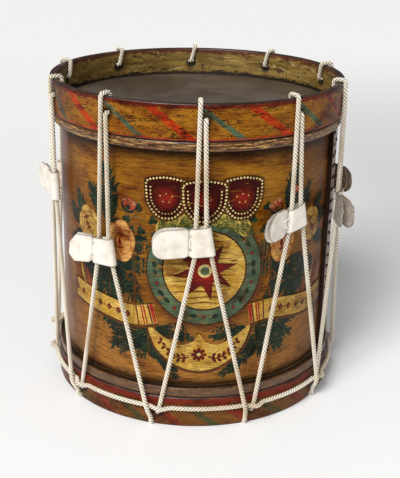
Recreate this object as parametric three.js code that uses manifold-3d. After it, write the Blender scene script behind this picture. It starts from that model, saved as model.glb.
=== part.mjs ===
// Rope-tensioned field drum, in millimetres, +Z up.
// The origin is on the drum's axis, in the flat bottom face of the lower counterhoop.
// Angles run round the drum from the front (-Y) towards its right side (+X).
import * as THREE from 'three';
import { mergeVertices } from 'three/addons/utils/BufferGeometryUtils.js';
import Module from 'manifold-3d';

const wasm = await Module();
wasm.setup();

// Overall
const drumHeight = 458;
const shellRadius = 198;
const roundSegments = 50;
const seatGap = 0.3;
const cutOverrun = 2;

// Counterhoops
const hoopWall = 9;
const hoopSlip = 3;
const topHoopHeight = 48;
const bottomHoopHeight = 44.8;
const hoopEdgeRound = 2.4;

// Shell
const shellWall = 6;
const shellEdgeRound = 1.8;
const batterDepth = 41;
const snareHeadHeight = 38;
const lapStep = 6;
const lapStart = 70;
const lapEnd = 118;
const lapSegments = 10;
const lapEmbed = 1.2;
const lapEndGap = 1.5;
const ventHeight = 228;
const ventAngle = 180;
const ventRadius = 6.2;

// Eyelet in the vent hole
const eyeletBore = 4.4;
const eyeletFlangeRadius = 10;
const eyeletFlangeThickness = 1.3;
const eyeletSides = 16;

// Glue rings inside the shell
const glueRingThickness = 5.5;
const glueRingHeight = 30;
const glueRingInset = 5;

// Heads and flesh hoops
const skinThickness = 0.8;
const fleshHoopWidth = 8;
const fleshHoopHeight = 12;
const skinTuck = 6;

// Rope
const ropeRadius = 3.25;
const ropeSides = 8;
const ropeGap = 0.35;
const ropeCrossGap = 1.9;
const tensionCount = 10;
const firstTopAngle = 2.2;
const bottomAngleShift = 19.5;
const topStrandOffset = 3.55;
const bottomHoleOffset = 4.8;
const crossingOffset = 7.7;
const crossingDrop = 2.5;
const ropeHoleRadius = 4.6;
const topHoleDepth = 20.4;
const bottomHoleHeight = 21;
const rimBend = 5;
const holeBend = 3.6;
const notchHalfWidth = 4.3;
const notchRoof = 0.9;
const returnHeight = 12;

// Spare rope round the lower counterhoop
const girthHeight = 30.5;
const girthLift = 0.3;
const girthStep = 7.2;
const girthLeadAngle = 4.5;
const stopperRadius = 6.4;
const stopperInset = 2.4;
const stopperDetail = 1;
const gapStep = 1;
const gapSkip = 16;

// The hitch that ends the spare rope: angle from the last V, radius over the hoop's face, height
const hitchRoute = [
  { angle: -14, stand: 3.9, height: 30.5 },
  { angle: -10.5, stand: 3.9, height: 44 },
  { angle: -8.2, stand: 3.4, height: 58 },
  { angle: -6.6, stand: -3.2, height: 66.5 },
  { angle: -3, stand: -4.9, height: 67.5 },
  { angle: 0.1, stand: 2.6, height: 67 },
  { angle: -1.2, stand: 10.4, height: 64.5 },
  { angle: -4.4, stand: 11.4, height: 62 },
];

// Tugs: the leather ears that slide on each pair of strands
const tugHeight = 40;
const tugReach = 63;
const leather = 2.2;
const tugRopeGap = 0.75;
const tugTopSpread = 7;
const tugBottomSpread = 10.8;
const tugTipRound = 17.5;
const tipTurn = 30;
const leafGap = 0.5;
const leafSplay = 1.2;
const laceOffset = 3.5;
const laceSpread = 7.8;
const laceWidth = 2.8;
const laceThickness = 1.8;
// Shares of the drum's height, the common height and reach, the strands' two spreads, their upper
// spread again for how far the tug stands aside, and the leaves' splay
const tugShares = [
  { height: 0.607, tall: 1, reach: 1.035, top: 0.96, bottom: 0.98, aside: 0.22, splay: 1 },
  { height: 0.65, tall: 0.8, reach: 0.89, top: 1.15, bottom: 1.18, aside: 0.5, splay: 1.5 },
  { height: 0.618, tall: 1, reach: 0.96, top: 1, bottom: 1, aside: 0, splay: 4.5 },
  { height: 0.635, tall: 1, reach: 1.02, top: 1, bottom: 1, aside: 0, splay: 2 },
  { height: 0.64, tall: 0.95, reach: 1.05, top: 0.97, bottom: 1.05, aside: 0.2, splay: 1 },
  { height: 0.618, tall: 1, reach: 1, top: 1, bottom: 1, aside: -0.2, splay: 2 },
  { height: 0.653, tall: 0.97, reach: 1.03, top: 1.05, bottom: 1.1, aside: 0, splay: 1 },
  { height: 0.629, tall: 1, reach: 0.97, top: 1, bottom: 1, aside: 0.1, splay: 2.5 },
  { height: 0.675, tall: 1, reach: 1.05, top: 1, bottom: 1.02, aside: 0, splay: 1.5 },
  { height: 0.543, tall: 0.93, reach: 0.91, top: 1.17, bottom: 1.22, aside: -0.36, splay: 1 },
];
// How far the strands' middle line leans, the leaves turn out and hang, and the tug tilts, in degrees
const tugTurns = [
  { lean: 4.5, flare: 2, droop: -3, tilt: 6 },
  { lean: 3, flare: 7, droop: -9, tilt: 12 },
  { lean: 0, flare: 28, droop: 3, tilt: 0 },
  { lean: 0, flare: 12, droop: -3, tilt: 2 },
  { lean: -2, flare: 6, droop: 4, tilt: -2 },
  { lean: 1, flare: 5, droop: -2, tilt: 4 },
  { lean: -1, flare: 5, droop: 5, tilt: 0 },
  { lean: 2, flare: 18, droop: 2, tilt: -3 },
  { lean: 0, flare: 4.5, droop: 1, tilt: 0 },
  { lean: 1.5, flare: 3, droop: 3, tilt: 4 },
];

// Snares under the lower head, their leather tabs and the strainer
const snareAngle = -104.3;
const snareRuns = 8;
const snareSpacing = 4;
const snareRadius = 0.6;
const snareSides = 5;
const snareDropLength = 12;
const tabLeather = 1.6;
const tabInner = 1.8;
const tabHalfWidth = 17;
const tabLength = 28;
const tabEdgeGap = 5;
const tabGrip = 8;
const buttTailHeight = 12;
const hookRadius = 2;
const hookSides = 10;
const hookInset = 8;
const hookLevel = 14;
const hookTravel = 3;
const hookBend = 5;
const hookSpare = 15;
const plateHalfWidth = 13;
const plateHalfHeight = 10.5;
const plateThickness = 2;
const nutHubRadius = 5.5;
const nutLength = 7.5;
const nutWingReach = 10.4;
const nutWingThickness = 2.6;
const nutSides = 16;

// Worked-out places
const radians = Math.PI / 180;
const hoopInnerRadius = shellRadius + hoopSlip;
const hoopOuterRadius = hoopInnerRadius + hoopWall;
const topHoopBase = drumHeight - topHoopHeight;
const batterLevel = drumHeight - batterDepth;
const shellBase = snareHeadHeight + skinThickness + seatGap;
const shellTop = batterLevel - skinThickness - seatGap;
const facetShare = Math.cos(Math.PI / roundSegments);
const ropeOut = hoopOuterRadius + ropeGap + ropeRadius;
const ropeIn = hoopInnerRadius * facetShare - ropeGap - ropeRadius;
const ropeCross = ropeOut + 2 * ropeRadius + ropeCrossGap;
const ropeOverRim = drumHeight + ropeGap + ropeRadius;
const ropeUnder = ropeGap + ropeRadius;
const topHoleHeight = drumHeight - topHoleDepth;
const angleStep = 360 / tensionCount;
const tugHalf = tugHeight / 2;
const tugInside = ropeRadius + tugRopeGap;

const topAngle = (index) => firstTopAngle + index * angleStep;
const bottomAngle = (index) => topAngle(index) + bottomAngleShift;
const offsetAngle = (length) => length / ropeOut / radians;
const tugLevel = (index) => tugShares[index].height * drumHeight;
const tugHalfOf = (index) => tugShares[index].tall * tugHalf;
const tugReachOf = (index) => tugShares[index].reach * tugReach;
const tugTopOf = (index) => tugShares[index].top * tugTopSpread;
const tugBottomOf = (index) => tugShares[index].bottom * tugBottomSpread;
const tugMiddleOf = (index) => (tugTopOf(index) + tugBottomOf(index)) / 2;
const tugWaistOf = (index) => tugMiddleOf(index) + tugInside;
const tugDepthOf = (index) => ropeOut * Math.cos(offsetAngle(tugMiddleOf(index)) * radians);
const tugAngle = (index) => topAngle(index) + offsetAngle(tugShares[index].aside * tugTopSpread);
const lacePlaceOf = (index) => -tugWaistOf(index) - laceOffset;

// A point from its distance to the axis, its angle round the drum and its height
function polar(radius, angle, height) {
  return new THREE.Vector3(
    radius * Math.sin(angle * radians),
    -radius * Math.cos(angle * radians),
    height,
  );
}

// Solids: conversion, joining and cutting
function toSolid(geometry) {
  const bare = geometry.index ? geometry.clone() : geometry;
  bare.deleteAttribute('normal');
  bare.deleteAttribute('uv');
  const merged = mergeVertices(bare);
  return new wasm.Manifold(new wasm.Mesh({
    numProp: 3,
    vertProperties: new Float32Array(merged.attributes.position.array),
    triVerts: new Uint32Array(merged.index.array),
  }));
}

function toGeometry(solid) {
  const mesh = solid.getMesh();
  const geometry = new THREE.BufferGeometry();
  geometry.setAttribute('position', new THREE.BufferAttribute(new Float32Array(mesh.vertProperties), 3));
  geometry.setIndex(new THREE.BufferAttribute(new Uint32Array(mesh.triVerts), 1));
  geometry.computeVertexNormals();
  return geometry;
}

function cut(base, tools) {
  let solid = toSolid(base);
  for (const tool of tools) {
    solid = solid.subtract(toSolid(tool));
  }
  return toGeometry(solid);
}

function join(first, ...others) {
  let solid = toSolid(first);
  for (const other of others) {
    solid = solid.add(toSolid(other));
  }
  return toGeometry(solid);
}

// A revolved ring or disc about +Z, from [radius, height] pairs
function revolve(pairs, segments = roundSegments) {
  const onAxis = pairs[0][0] === 0;
  const outline = onAxis ? pairs : [...pairs, pairs[0]];
  const points = outline.map(([radius, height]) => new THREE.Vector2(radius, height));
  const geometry = new THREE.LatheGeometry(points, segments);
  geometry.rotateX(Math.PI / 2);
  return outward(geometry);
}

// Facing out whichever way the profile was drawn
function outward(geometry) {
  geometry.deleteAttribute('normal');
  geometry.deleteAttribute('uv');
  const merged = dropFlatFaces(mergeVertices(geometry));
  if (signedVolume(merged) < 0) {
    const index = merged.index.array;
    for (let at = 0; at < index.length; at += 3) {
      const keep = index[at];
      index[at] = index[at + 1];
      index[at + 1] = keep;
    }
  }
  merged.computeVertexNormals();
  return merged;
}

function dropFlatFaces(geometry) {
  const index = geometry.index.array;
  const kept = [];
  for (let at = 0; at < index.length; at += 3) {
    const [a, b, c] = [index[at], index[at + 1], index[at + 2]];
    if (a !== b && b !== c && c !== a) {
      kept.push(a, b, c);
    }
  }
  geometry.setIndex(kept);
  return geometry;
}

function signedVolume(geometry) {
  const place = geometry.attributes.position;
  const index = geometry.index.array;
  const corners = [new THREE.Vector3(), new THREE.Vector3(), new THREE.Vector3()];
  let sum = 0;
  for (let at = 0; at < index.length; at += 3) {
    corners.forEach((corner, side) => corner.fromBufferAttribute(place, index[at + side]));
    sum += corners[0].dot(corners[1].cross(corners[2]));
  }
  return sum;
}

function extrude(pairs, depth) {
  const shape = new THREE.Shape(pairs.map(([x, y]) => new THREE.Vector2(x, y)));
  return outward(new THREE.ExtrudeGeometry(shape, { depth, bevelEnabled: false }));
}

// A tube whose rings stand exactly at the stations of its route
class StationPath extends THREE.Curve {
  constructor(stations) {
    super();
    this.stations = stations;
  }

  getPointAt(share, target = new THREE.Vector3()) {
    const last = this.stations.length - 1;
    return target.copy(this.stations[Math.round(share * last)]);
  }

  getTangentAt(share, target = new THREE.Vector3()) {
    const last = this.stations.length - 1;
    const at = Math.round(share * last);
    const here = this.stations[at];
    const before = this.stations[Math.max(at - 1, 0)];
    const after = this.stations[Math.min(at + 1, last)];
    const arriving = here.clone().sub(before).normalize();
    const leaving = after.clone().sub(here).normalize();
    return target.copy(arriving).add(leaving).normalize();
  }
}

function tube(stations, radius, sides) {
  const ring = [];
  for (let side = 0; side < sides; side += 1) {
    const turn = side / sides * 2 * Math.PI;
    ring.push(new THREE.Vector2(radius * Math.cos(turn), radius * Math.sin(turn)));
  }
  const section = new THREE.Shape(ring);
  const path = new StationPath(stations);
  return outward(new THREE.ExtrudeGeometry(section, {
    steps: stations.length - 1,
    extrudePath: path,
    bevelEnabled: false,
  }));
}

// How far a rounded corner's middle stands off the corner, as a share of its bend
const bendShare = 1 / 4;

// Stations along straight runs whose corners are rounded off over the bend length
function roundedRoute(corners) {
  const stations = [corners[0].at];
  for (let index = 1; index < corners.length - 1; index += 1) {
    const { at, bend } = corners[index];
    if (!bend) {
      stations.push(at);
      continue;
    }
    const back = corners[index - 1].at.clone().sub(at).normalize();
    const on = corners[index + 1].at.clone().sub(at).normalize();
    stations.push(at.clone().addScaledVector(back, bend));
    stations.push(at.clone().addScaledVector(back.clone().add(on), bend * bendShare));
    stations.push(at.clone().addScaledVector(on, bend));
  }
  stations.push(corners[corners.length - 1].at);
  return stations;
}

function placeOutward(geometry, angle) {
  geometry.rotateZ(angle * radians);
  return geometry;
}

// A cylinder pointing out of the drum, from one radius to another
function radialCylinder(radius, from, to, angle, height, sides) {
  const geometry = new THREE.CylinderGeometry(radius, radius, to - from, sides);
  geometry.translate(0, -(from + to) / 2, 0);
  geometry.translate(0, 0, height);
  return placeOutward(geometry, angle);
}

// Hoops
function hoopProfile(base, height) {
  const round = hoopEdgeRound;
  const eased = round * (1 - Math.SQRT1_2);
  const top = base + height;
  return [
    [hoopInnerRadius, base + round],
    [hoopInnerRadius + round, base],
    [hoopOuterRadius - round, base],
    [hoopOuterRadius - eased, base + eased],
    [hoopOuterRadius, base + round],
    [hoopOuterRadius, top - round],
    [hoopOuterRadius - eased, top - eased],
    [hoopOuterRadius - round, top],
    [hoopInnerRadius + round, top],
    [hoopInnerRadius, top - round],
  ];
}

const holeFrom = hoopInnerRadius - cutOverrun;
const holeTo = hoopOuterRadius + cutOverrun;

function ropeHole(angle, height) {
  return radialCylinder(ropeHoleRadius, holeFrom, holeTo, angle, height, ropeSides);
}

function topCounterhoop() {
  const holes = [];
  for (let index = 0; index < tensionCount; index += 1) {
    holes.push(ropeHole(topAngle(index) + offsetAngle(topStrandOffset), topHoleHeight));
  }
  return cut(revolve(hoopProfile(topHoopBase, topHoopHeight)), holes);
}

// The groove that takes the rope under the lower counterhoop, so that the hoop stands flat
function ropeNotch(angle) {
  const roof = ropeUnder + ropeRadius + notchRoof;
  const shoulder = roof - notchHalfWidth / 2;
  const outline = [
    [-notchHalfWidth, -cutOverrun],
    [notchHalfWidth, -cutOverrun],
    [notchHalfWidth, shoulder],
    [notchHalfWidth / 2, roof],
    [-notchHalfWidth / 2, roof],
    [-notchHalfWidth, shoulder],
  ];
  const geometry = extrude(outline, holeTo - holeFrom);
  geometry.rotateX(Math.PI / 2);
  geometry.translate(0, -holeFrom, 0);
  return placeOutward(geometry, angle);
}

function bottomCounterhoop() {
  const cuts = [];
  for (let index = 0; index < tensionCount; index += 1) {
    const angle = bottomAngle(index);
    cuts.push(ropeHole(angle + offsetAngle(bottomHoleOffset), bottomHoleHeight));
    cuts.push(ropeNotch(angle - offsetAngle(bottomHoleOffset)));
  }
  const hookHole = hookRadius + 2 * seatGap;
  cuts.push(radialCylinder(hookHole, holeFrom, holeTo, snareAngle, hookLevel, hookSides));
  return cut(revolve(hoopProfile(0, bottomHoopHeight)), cuts);
}

// Heads: each skin runs over the bearing edge, down the shell and round its flesh hoop
const collarInner = shellRadius + seatGap;
const collarOuter = collarInner + skinThickness;
const fleshInner = collarOuter + seatGap;
const fleshOuter = fleshInner + fleshHoopWidth;
const wrapInner = fleshOuter + seatGap;
const wrapOuter = wrapInner + skinThickness;
const wrapDepth = fleshHoopHeight + 2 * seatGap + 2 * skinThickness;

// Heights here are measured from the counterhoop's edge, in towards the middle of the drum
function headProfile(level, edge, inward) {
  const under = level + inward * skinThickness;
  const near = edge + inward * seatGap;
  const nearInside = near + inward * skinThickness;
  const far = near + inward * wrapDepth;
  const farInside = far - inward * skinThickness;
  const bend = skinThickness + seatGap;
  return [
    [0, level],
    [collarInner - bend, level],
    [collarOuter, level + inward * 2 * bend],
    [collarOuter, farInside],
    [wrapInner, farInside],
    [wrapInner, nearInside],
    [wrapInner - skinTuck, nearInside],
    [wrapInner - skinTuck, near],
    [wrapOuter, near],
    [wrapOuter, far],
    [collarInner, far],
    [collarInner, level + inward * 2 * bend],
    [collarInner - bend, under],
    [0, under],
  ];
}

function fleshHoop(edge, inward) {
  const near = edge + inward * (2 * seatGap + skinThickness);
  const far = near + inward * fleshHoopHeight;
  return revolve([[fleshInner, near], [fleshOuter, near], [fleshOuter, far], [fleshInner, far]]);
}

// Shell: one bent board whose outer end laps over the inner one
function shell() {
  const inner = shellRadius - shellWall;
  const round = shellEdgeRound;
  const body = revolve([
    [inner, shellBase + round],
    [inner + round, shellBase],
    [shellRadius - round, shellBase],
    [shellRadius, shellBase + round],
    [shellRadius, shellTop - round],
    [shellRadius - round, shellTop],
    [inner + round, shellTop],
    [inner, shellTop - round],
  ]);
  const lapBase = bottomHoopHeight + seatGap + wrapDepth + lapEndGap;
  const lapTop = topHoopBase - seatGap - wrapDepth - lapEndGap;
  const outline = [];
  for (let step = 0; step <= lapSegments; step += 1) {
    const share = step / lapSegments;
    const raised = shellRadius + lapStep * (1 - share) - lapEmbed / 2 * share;
    const place = polar(raised, lapStart + (lapEnd - lapStart) * share, 0);
    outline.push([place.x, place.y]);
  }
  for (let step = lapSegments; step >= 0; step -= 1) {
    const share = step / lapSegments;
    const place = polar(shellRadius - lapEmbed, lapStart + (lapEnd - lapStart) * share, 0);
    outline.push([place.x, place.y]);
  }
  const lap = extrude(outline, lapTop - lapBase);
  lap.translate(0, 0, lapBase);
  const reach = shellWall + cutOverrun;
  const vent = radialCylinder(
    ventRadius, shellRadius - reach, shellRadius + cutOverrun, ventAngle, ventHeight, eyeletSides,
  );
  return cut(join(body, lap), [vent]);
}

// A ring turned about an axis that points out of the drum
function radialRevolve(pairs, angle, height, segments) {
  const geometry = revolve(pairs, segments);
  geometry.rotateX(Math.PI / 2);
  geometry.translate(0, 0, height);
  return placeOutward(geometry, angle);
}

function ventEyelet() {
  const wallIn = (shellRadius - shellWall) * facetShare;
  const tubeRadius = ventRadius - seatGap;
  const flangeBase = shellRadius + seatGap;
  return radialRevolve([
    [eyeletBore, wallIn],
    [tubeRadius, wallIn],
    [tubeRadius, flangeBase],
    [eyeletFlangeRadius, flangeBase],
    [eyeletFlangeRadius - eyeletFlangeThickness / 2, flangeBase + eyeletFlangeThickness],
    [eyeletBore, flangeBase + eyeletFlangeThickness],
  ], ventAngle, ventHeight, eyeletSides);
}

function glueRing(base) {
  const outer = shellRadius - shellWall - seatGap;
  const inner = outer - glueRingThickness;
  return revolve([
    [inner, base],
    [outer, base],
    [outer, base + glueRingHeight],
    [inner, base + glueRingHeight],
  ]);
}

// Rope: up to a tug, over the rim, out of the hole and down; then under the lower hoop
function topCorners(index) {
  const angle = topAngle(index);
  const up = angle - offsetAngle(topStrandOffset);
  const down = angle + offsetAngle(topStrandOffset);
  return [
    { at: polar(ropeOut, up, ropeOverRim), bend: rimBend },
    { at: polar(ropeIn, up, ropeOverRim), bend: rimBend },
    { at: polar(ropeIn, down, topHoleHeight), bend: holeBend },
    { at: polar(ropeOut, down, topHoleHeight), bend: holeBend },
  ];
}

function tugCorners(index, side) {
  const height = tugLevel(index);
  const half = tugHalfOf(index);
  const leaned = half * Math.tan(tugTurns[index].lean * radians);
  const top = tugAngle(index) + offsetAngle(side * tugTopOf(index) - leaned);
  const bottom = tugAngle(index) + offsetAngle(side * tugBottomOf(index) + leaned);
  return [
    { at: polar(ropeOut, top, height + half), bend: 0 },
    { at: polar(ropeOut, bottom, height - half), bend: 0 },
  ];
}

function bottomCorners(index) {
  const angle = bottomAngle(index);
  const down = angle - offsetAngle(bottomHoleOffset);
  const up = angle + offsetAngle(bottomHoleOffset);
  return [
    { at: polar(ropeCross, angle - offsetAngle(crossingOffset), girthHeight - crossingDrop), bend: 0 },
    { at: polar(ropeOut, down, returnHeight), bend: 0 },
    { at: polar(ropeOut, down, ropeUnder), bend: holeBend },
    { at: polar(ropeIn, down, ropeUnder), bend: holeBend },
    ...risingCorners(angle, up),
  ];
}

function risingCorners(angle, up) {
  return [
    { at: polar(ropeIn, up, bottomHoleHeight), bend: holeBend },
    { at: polar(ropeOut, up, bottomHoleHeight), bend: holeBend },
    { at: polar(ropeOut, angle + offsetAngle(crossingOffset), girthHeight), bend: 0 },
  ];
}

// The spare rope passes in front of each rising strand, then behind the next falling one
function girthCorners(angle, end) {
  const girth = ropeOut + girthLift;
  const front = angle + offsetAngle(crossingOffset);
  const clear = front + girthLeadAngle;
  const steps = Math.round((end - clear) / girthStep);
  const corners = [{ at: polar(ropeCross + girthLift, front, girthHeight), bend: 0 }];
  for (let step = 0; step <= steps; step += 1) {
    corners.push({ at: polar(girth, clear + (end - clear) * step / steps, girthHeight), bend: 0 });
  }
  return corners;
}

function ropeCorners() {
  const first = tensionCount - 2;
  const start = bottomAngle(first - 1);
  const startUp = start + offsetAngle(bottomHoleOffset);
  const behind = -offsetAngle(crossingOffset);
  const corners = [
    { at: polar(ropeIn - stopperInset, startUp, bottomHoleHeight), bend: 0 },
    { at: polar(ropeOut, startUp, bottomHoleHeight), bend: holeBend },
    { at: polar(ropeOut, start - behind, girthHeight), bend: 0 },
  ];
  for (let turn = 0; turn < tensionCount; turn += 1) {
    const index = (first + turn) % tensionCount;
    const [leftTop, leftBottom] = tugCorners(index, -1);
    corners.push(leftBottom, leftTop, ...topCorners(index), ...tugCorners(index, 1));
    if (turn < tensionCount - 1) {
      corners.push(...bottomCorners(index));
    }
  }
  corners.push({ at: polar(ropeOut + girthLift, start + behind, girthHeight), bend: 0 });
  for (let turn = 0; turn < tensionCount; turn += 1) {
    const angle = start + turn * angleStep;
    const last = turn === tensionCount - 1;
    const before = last ? hitchRoute[0].angle - girthStep : behind;
    corners.push(...girthCorners(angle, angle + angleStep + before));
  }
  for (const { angle, stand, height } of hitchRoute) {
    corners.push({ at: polar(ropeOut + stand - ropeRadius, start + angle, height), bend: 0 });
  }
  return corners;
}

// The least gap between stretches of the rope that are further apart along it than gapSkip
function leastRopeGap(stations) {
  const points = [];
  for (let at = 1; at < stations.length; at += 1) {
    const steps = Math.ceil(stations[at].distanceTo(stations[at - 1]) / gapStep);
    for (let step = 0; step < steps; step += 1) {
      points.push(stations[at - 1].clone().lerp(stations[at], step / steps));
    }
  }
  const skip = Math.ceil(gapSkip / gapStep);
  let least = Infinity;
  for (let at = 0; at < points.length; at += 1) {
    for (let other = at + skip; other < points.length; other += 1) {
      least = Math.min(least, points[at].distanceToSquared(points[other]));
    }
  }
  return Math.sqrt(least) - 2 * ropeRadius;
}

function tensionRope() {
  const first = tensionCount - 2;
  const startAngle = bottomAngle(first - 1) + offsetAngle(bottomHoleOffset);
  const stopper = new THREE.IcosahedronGeometry(stopperRadius, stopperDetail);
  const place = polar(ropeIn - stopperInset, startAngle, bottomHoleHeight);
  stopper.translate(place.x, place.y, place.z);
  const stations = roundedRoute(ropeCorners());
  console.log(`least gap of the rope to itself: ${leastRopeGap(stations).toFixed(2)} mm`);
  return join(tube(stations, ropeRadius, ropeSides), stopper);
}

// Tugs: x runs along the drum's face, -y points outwards, z is up
function arcPoints(centre, radius, turns) {
  return turns.map((turn) => [
    centre + radius * Math.cos(turn * radians), radius * Math.sin(turn * radians),
  ]);
}

// Where the leaves leave the sleeve, and how far they have splayed at a place further out
function leafStart(index) {
  return tugMiddleOf(index) + Math.sqrt((tugInside + leather) ** 2 - (leafGap / 2 + leather) ** 2);
}

function splayAt(index, out) {
  const start = leafStart(index);
  return tugShares[index].splay * leafSplay * (out - start) / (tugReachOf(index) - start);
}

function tugOutline(index) {
  const half = leafGap / 2;
  const outer = tugInside + leather;
  const middle = tugMiddleOf(index);
  const reach = tugReachOf(index);
  const tipInner = half + splayAt(index, reach);
  const front = [
    [-reach, tipInner + leather],
    [-leafStart(index), half + leather],
    ...arcPoints(-middle, outer, [140, 90]),
    ...arcPoints(middle, outer, [90, 45]),
  ];
  const inside = [
    ...arcPoints(middle, tugInside, [45, 90]),
    ...arcPoints(-middle, tugInside, [90, 120, 150]),
    [-tugWaistOf(index) - leather / 2, half],
    [-reach, tipInner],
  ];
  const mirror = (list) => list.map(([x, y]) => [x, -y]).reverse();
  return [
    ...front,
    [middle + outer, 0],
    ...mirror(front),
    ...mirror(inside),
    [middle + tugInside, 0],
    ...inside,
  ];
}

function tugRoundOff(index) {
  const far = tugWaistOf(index) + leather + cutOverrun;
  const outline = [];
  const centre = -tugReachOf(index) + tugTipRound;
  for (let turn = 90; turn <= 180; turn += tipTurn) {
    outline.push([
      centre + tugTipRound * Math.cos(turn * radians),
      tugHalf - tugTipRound + tugTipRound * Math.sin(turn * radians),
    ]);
  }
  const lower = outline.map(([x, z]) => [x, -z]).reverse();
  const geometry = extrude([...outline, ...lower, [far, -tugHalf], [far, tugHalf]], 2 * tugHeight);
  geometry.rotateX(Math.PI / 2);
  geometry.translate(0, tugHeight, 0);
  return geometry;
}

function laceHole(index, side) {
  const size = laceWidth + 2 * seatGap;
  const geometry = new THREE.BoxGeometry(size, tugHeight, size);
  geometry.translate(lacePlaceOf(index), 0, side * laceSpread);
  return geometry;
}

// The flat ear takes its sleeve's height, leans and spreads with the strands' V and is tilted, then
// its leaves are turned out and let hang
function shapeTug(geometry, index) {
  const { lean, flare, droop, tilt } = tugTurns[index];
  const place = geometry.attributes.position;
  const spread = (tugBottomOf(index) - tugTopOf(index)) / 2;
  const hinge = -tugWaistOf(index);
  const point = new THREE.Vector3();
  for (let at = 0; at < place.count; at += 1) {
    point.fromBufferAttribute(place, at);
    const onLeaf = THREE.MathUtils.clamp((hinge - point.x) / tugTipRound, 0, 1);
    const tall = THREE.MathUtils.lerp(tugShares[index].tall, 1, onLeaf);
    const level = point.z * tall + point.x * Math.tan(tilt * radians);
    const share = THREE.MathUtils.clamp(point.x / tugMiddleOf(index), -1, 1);
    const shift = -level * Math.tan(lean * radians) - spread * level / tugHalfOf(index) * share;
    const past = Math.min(point.x - hinge, 0);
    const kept = point.x - past;
    point.x = kept + shift + past * Math.cos(flare * radians) + point.y * turnedShare(past, flare);
    point.y = point.y + past * Math.sin(flare * radians);
    point.z = level + past * Math.tan(droop * radians);
    place.setXYZ(at, point.x, point.y, point.z);
  }
  geometry.computeVertexNormals();
  return geometry;
}

// Leaves keep their thickness where they turn out
function turnedShare(past, flare) {
  return past < 0 ? -Math.sin(flare * radians) : 0;
}

function placeTug(geometry, index) {
  shapeTug(geometry, index);
  geometry.translate(0, -tugDepthOf(index), tugLevel(index));
  return placeOutward(geometry, tugAngle(index));
}

function tug(index) {
  const strip = extrude(tugOutline(index), tugHeight);
  strip.translate(0, 0, -tugHalf);
  const rounded = toSolid(strip).intersect(toSolid(tugRoundOff(index)));
  const pierced = cut(toGeometry(rounded), [laceHole(index, 1), laceHole(index, -1)]);
  return placeTug(pierced, index);
}

function lace(index) {
  const halfWidth = laceWidth / 2;
  const splayed = splayAt(index, halfWidth - lacePlaceOf(index));
  const inner = leafGap / 2 + leather + seatGap + splayed;
  const outer = inner + laceThickness;
  const ring = new THREE.Shape([
    new THREE.Vector2(-outer, -laceSpread - halfWidth),
    new THREE.Vector2(outer, -laceSpread - halfWidth),
    new THREE.Vector2(outer, laceSpread + halfWidth),
    new THREE.Vector2(-outer, laceSpread + halfWidth),
  ]);
  ring.holes.push(new THREE.Path([
    new THREE.Vector2(-inner, -laceSpread + halfWidth),
    new THREE.Vector2(-inner, laceSpread - halfWidth),
    new THREE.Vector2(inner, laceSpread - halfWidth),
    new THREE.Vector2(inner, -laceSpread + halfWidth),
  ]));
  const geometry = outward(new THREE.ExtrudeGeometry(ring, { depth: laceWidth, bevelEnabled: false }));
  geometry.rotateX(Math.PI / 2);
  geometry.rotateZ(Math.PI / 2);
  geometry.translate(lacePlaceOf(index) - halfWidth, 0, 0);
  return placeTug(geometry, index);
}

// Snares: one length of gut laid to and fro under the lower head
const tabFold = hoopInnerRadius - tabEdgeGap;
const tabMouth = tabFold - tabLength;
const snareReach = tabMouth + tabGrip;
const hookReach = tabFold - hookInset;
const hookEnd = hoopOuterRadius + hookSpare;
const snareLevel = snareHeadHeight - seatGap - snareRadius;
const tabTop = snareHeadHeight - 2 * seatGap;
const tabMiddle = tabTop - tabLeather - tabInner / 2;
const tabBottom = tabMiddle - tabInner / 2 - tabLeather;

// x runs across the snares and -y towards the strainer
function gutSnares() {
  const stations = [];
  const half = (snareRuns - 1) / 2;
  const drop = snareReach - snareDropLength;
  for (let run = 0; run < snareRuns; run += 1) {
    const x = (run - half) * snareSpacing;
    const way = run % 2 === 0 ? 1 : -1;
    const turnRadius = snareSpacing / 2;
    stations.push(new THREE.Vector3(x, way * snareReach, tabMiddle));
    stations.push(new THREE.Vector3(x, way * (drop - tabInner), tabMiddle));
    stations.push(new THREE.Vector3(x, way * (drop - snareDropLength), snareLevel));
    stations.push(new THREE.Vector3(x, -way * (drop - snareDropLength), snareLevel));
    stations.push(new THREE.Vector3(x, -way * (drop - tabInner), tabMiddle));
    stations.push(new THREE.Vector3(x, -way * snareReach, tabMiddle));
    if (run < snareRuns - 1) {
      const out = -way * (snareReach + turnRadius * Math.SQRT1_2);
      stations.push(new THREE.Vector3(x + turnRadius * (1 - Math.SQRT1_2), out, tabMiddle));
      stations.push(new THREE.Vector3(x + turnRadius, -way * (snareReach + turnRadius), tabMiddle));
      stations.push(new THREE.Vector3(x + turnRadius * (1 + Math.SQRT1_2), out, tabMiddle));
    }
  }
  return placeOutward(tube(stations, snareRadius, snareSides), snareAngle);
}

// A folded leather tab, drawn in section: first along the snares, then up
function foldedTab(tail) {
  const innerTop = tabMiddle + tabInner / 2;
  const innerBottom = tabMiddle - tabInner / 2;
  const bottomOutline = tail
    ? [[tabFold + tabLeather, tabTop - tabLeather], [tabFold + tabLeather, buttTailHeight],
      [tabFold, buttTailHeight], [tabFold, tabBottom]]
    : [[tabFold, tabTop - tabLeather], [tabFold, tabBottom + tabLeather / 2],
      [tabFold - tabLeather / 2, tabBottom]];
  const outline = [
    [tabMouth, tabTop],
    [tabFold - tabLeather / 2, tabTop],
    ...bottomOutline,
    [tabMouth, tabBottom],
    [tabMouth, innerBottom],
    [snareReach + snareSpacing, innerBottom],
    [snareReach + snareSpacing, innerTop],
    [tabMouth, innerTop],
  ];
  const geometry = extrude(outline, 2 * tabHalfWidth);
  geometry.translate(0, 0, -tabHalfWidth);
  geometry.rotateX(Math.PI / 2);
  geometry.rotateZ(-Math.PI / 2);
  return geometry;
}

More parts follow.
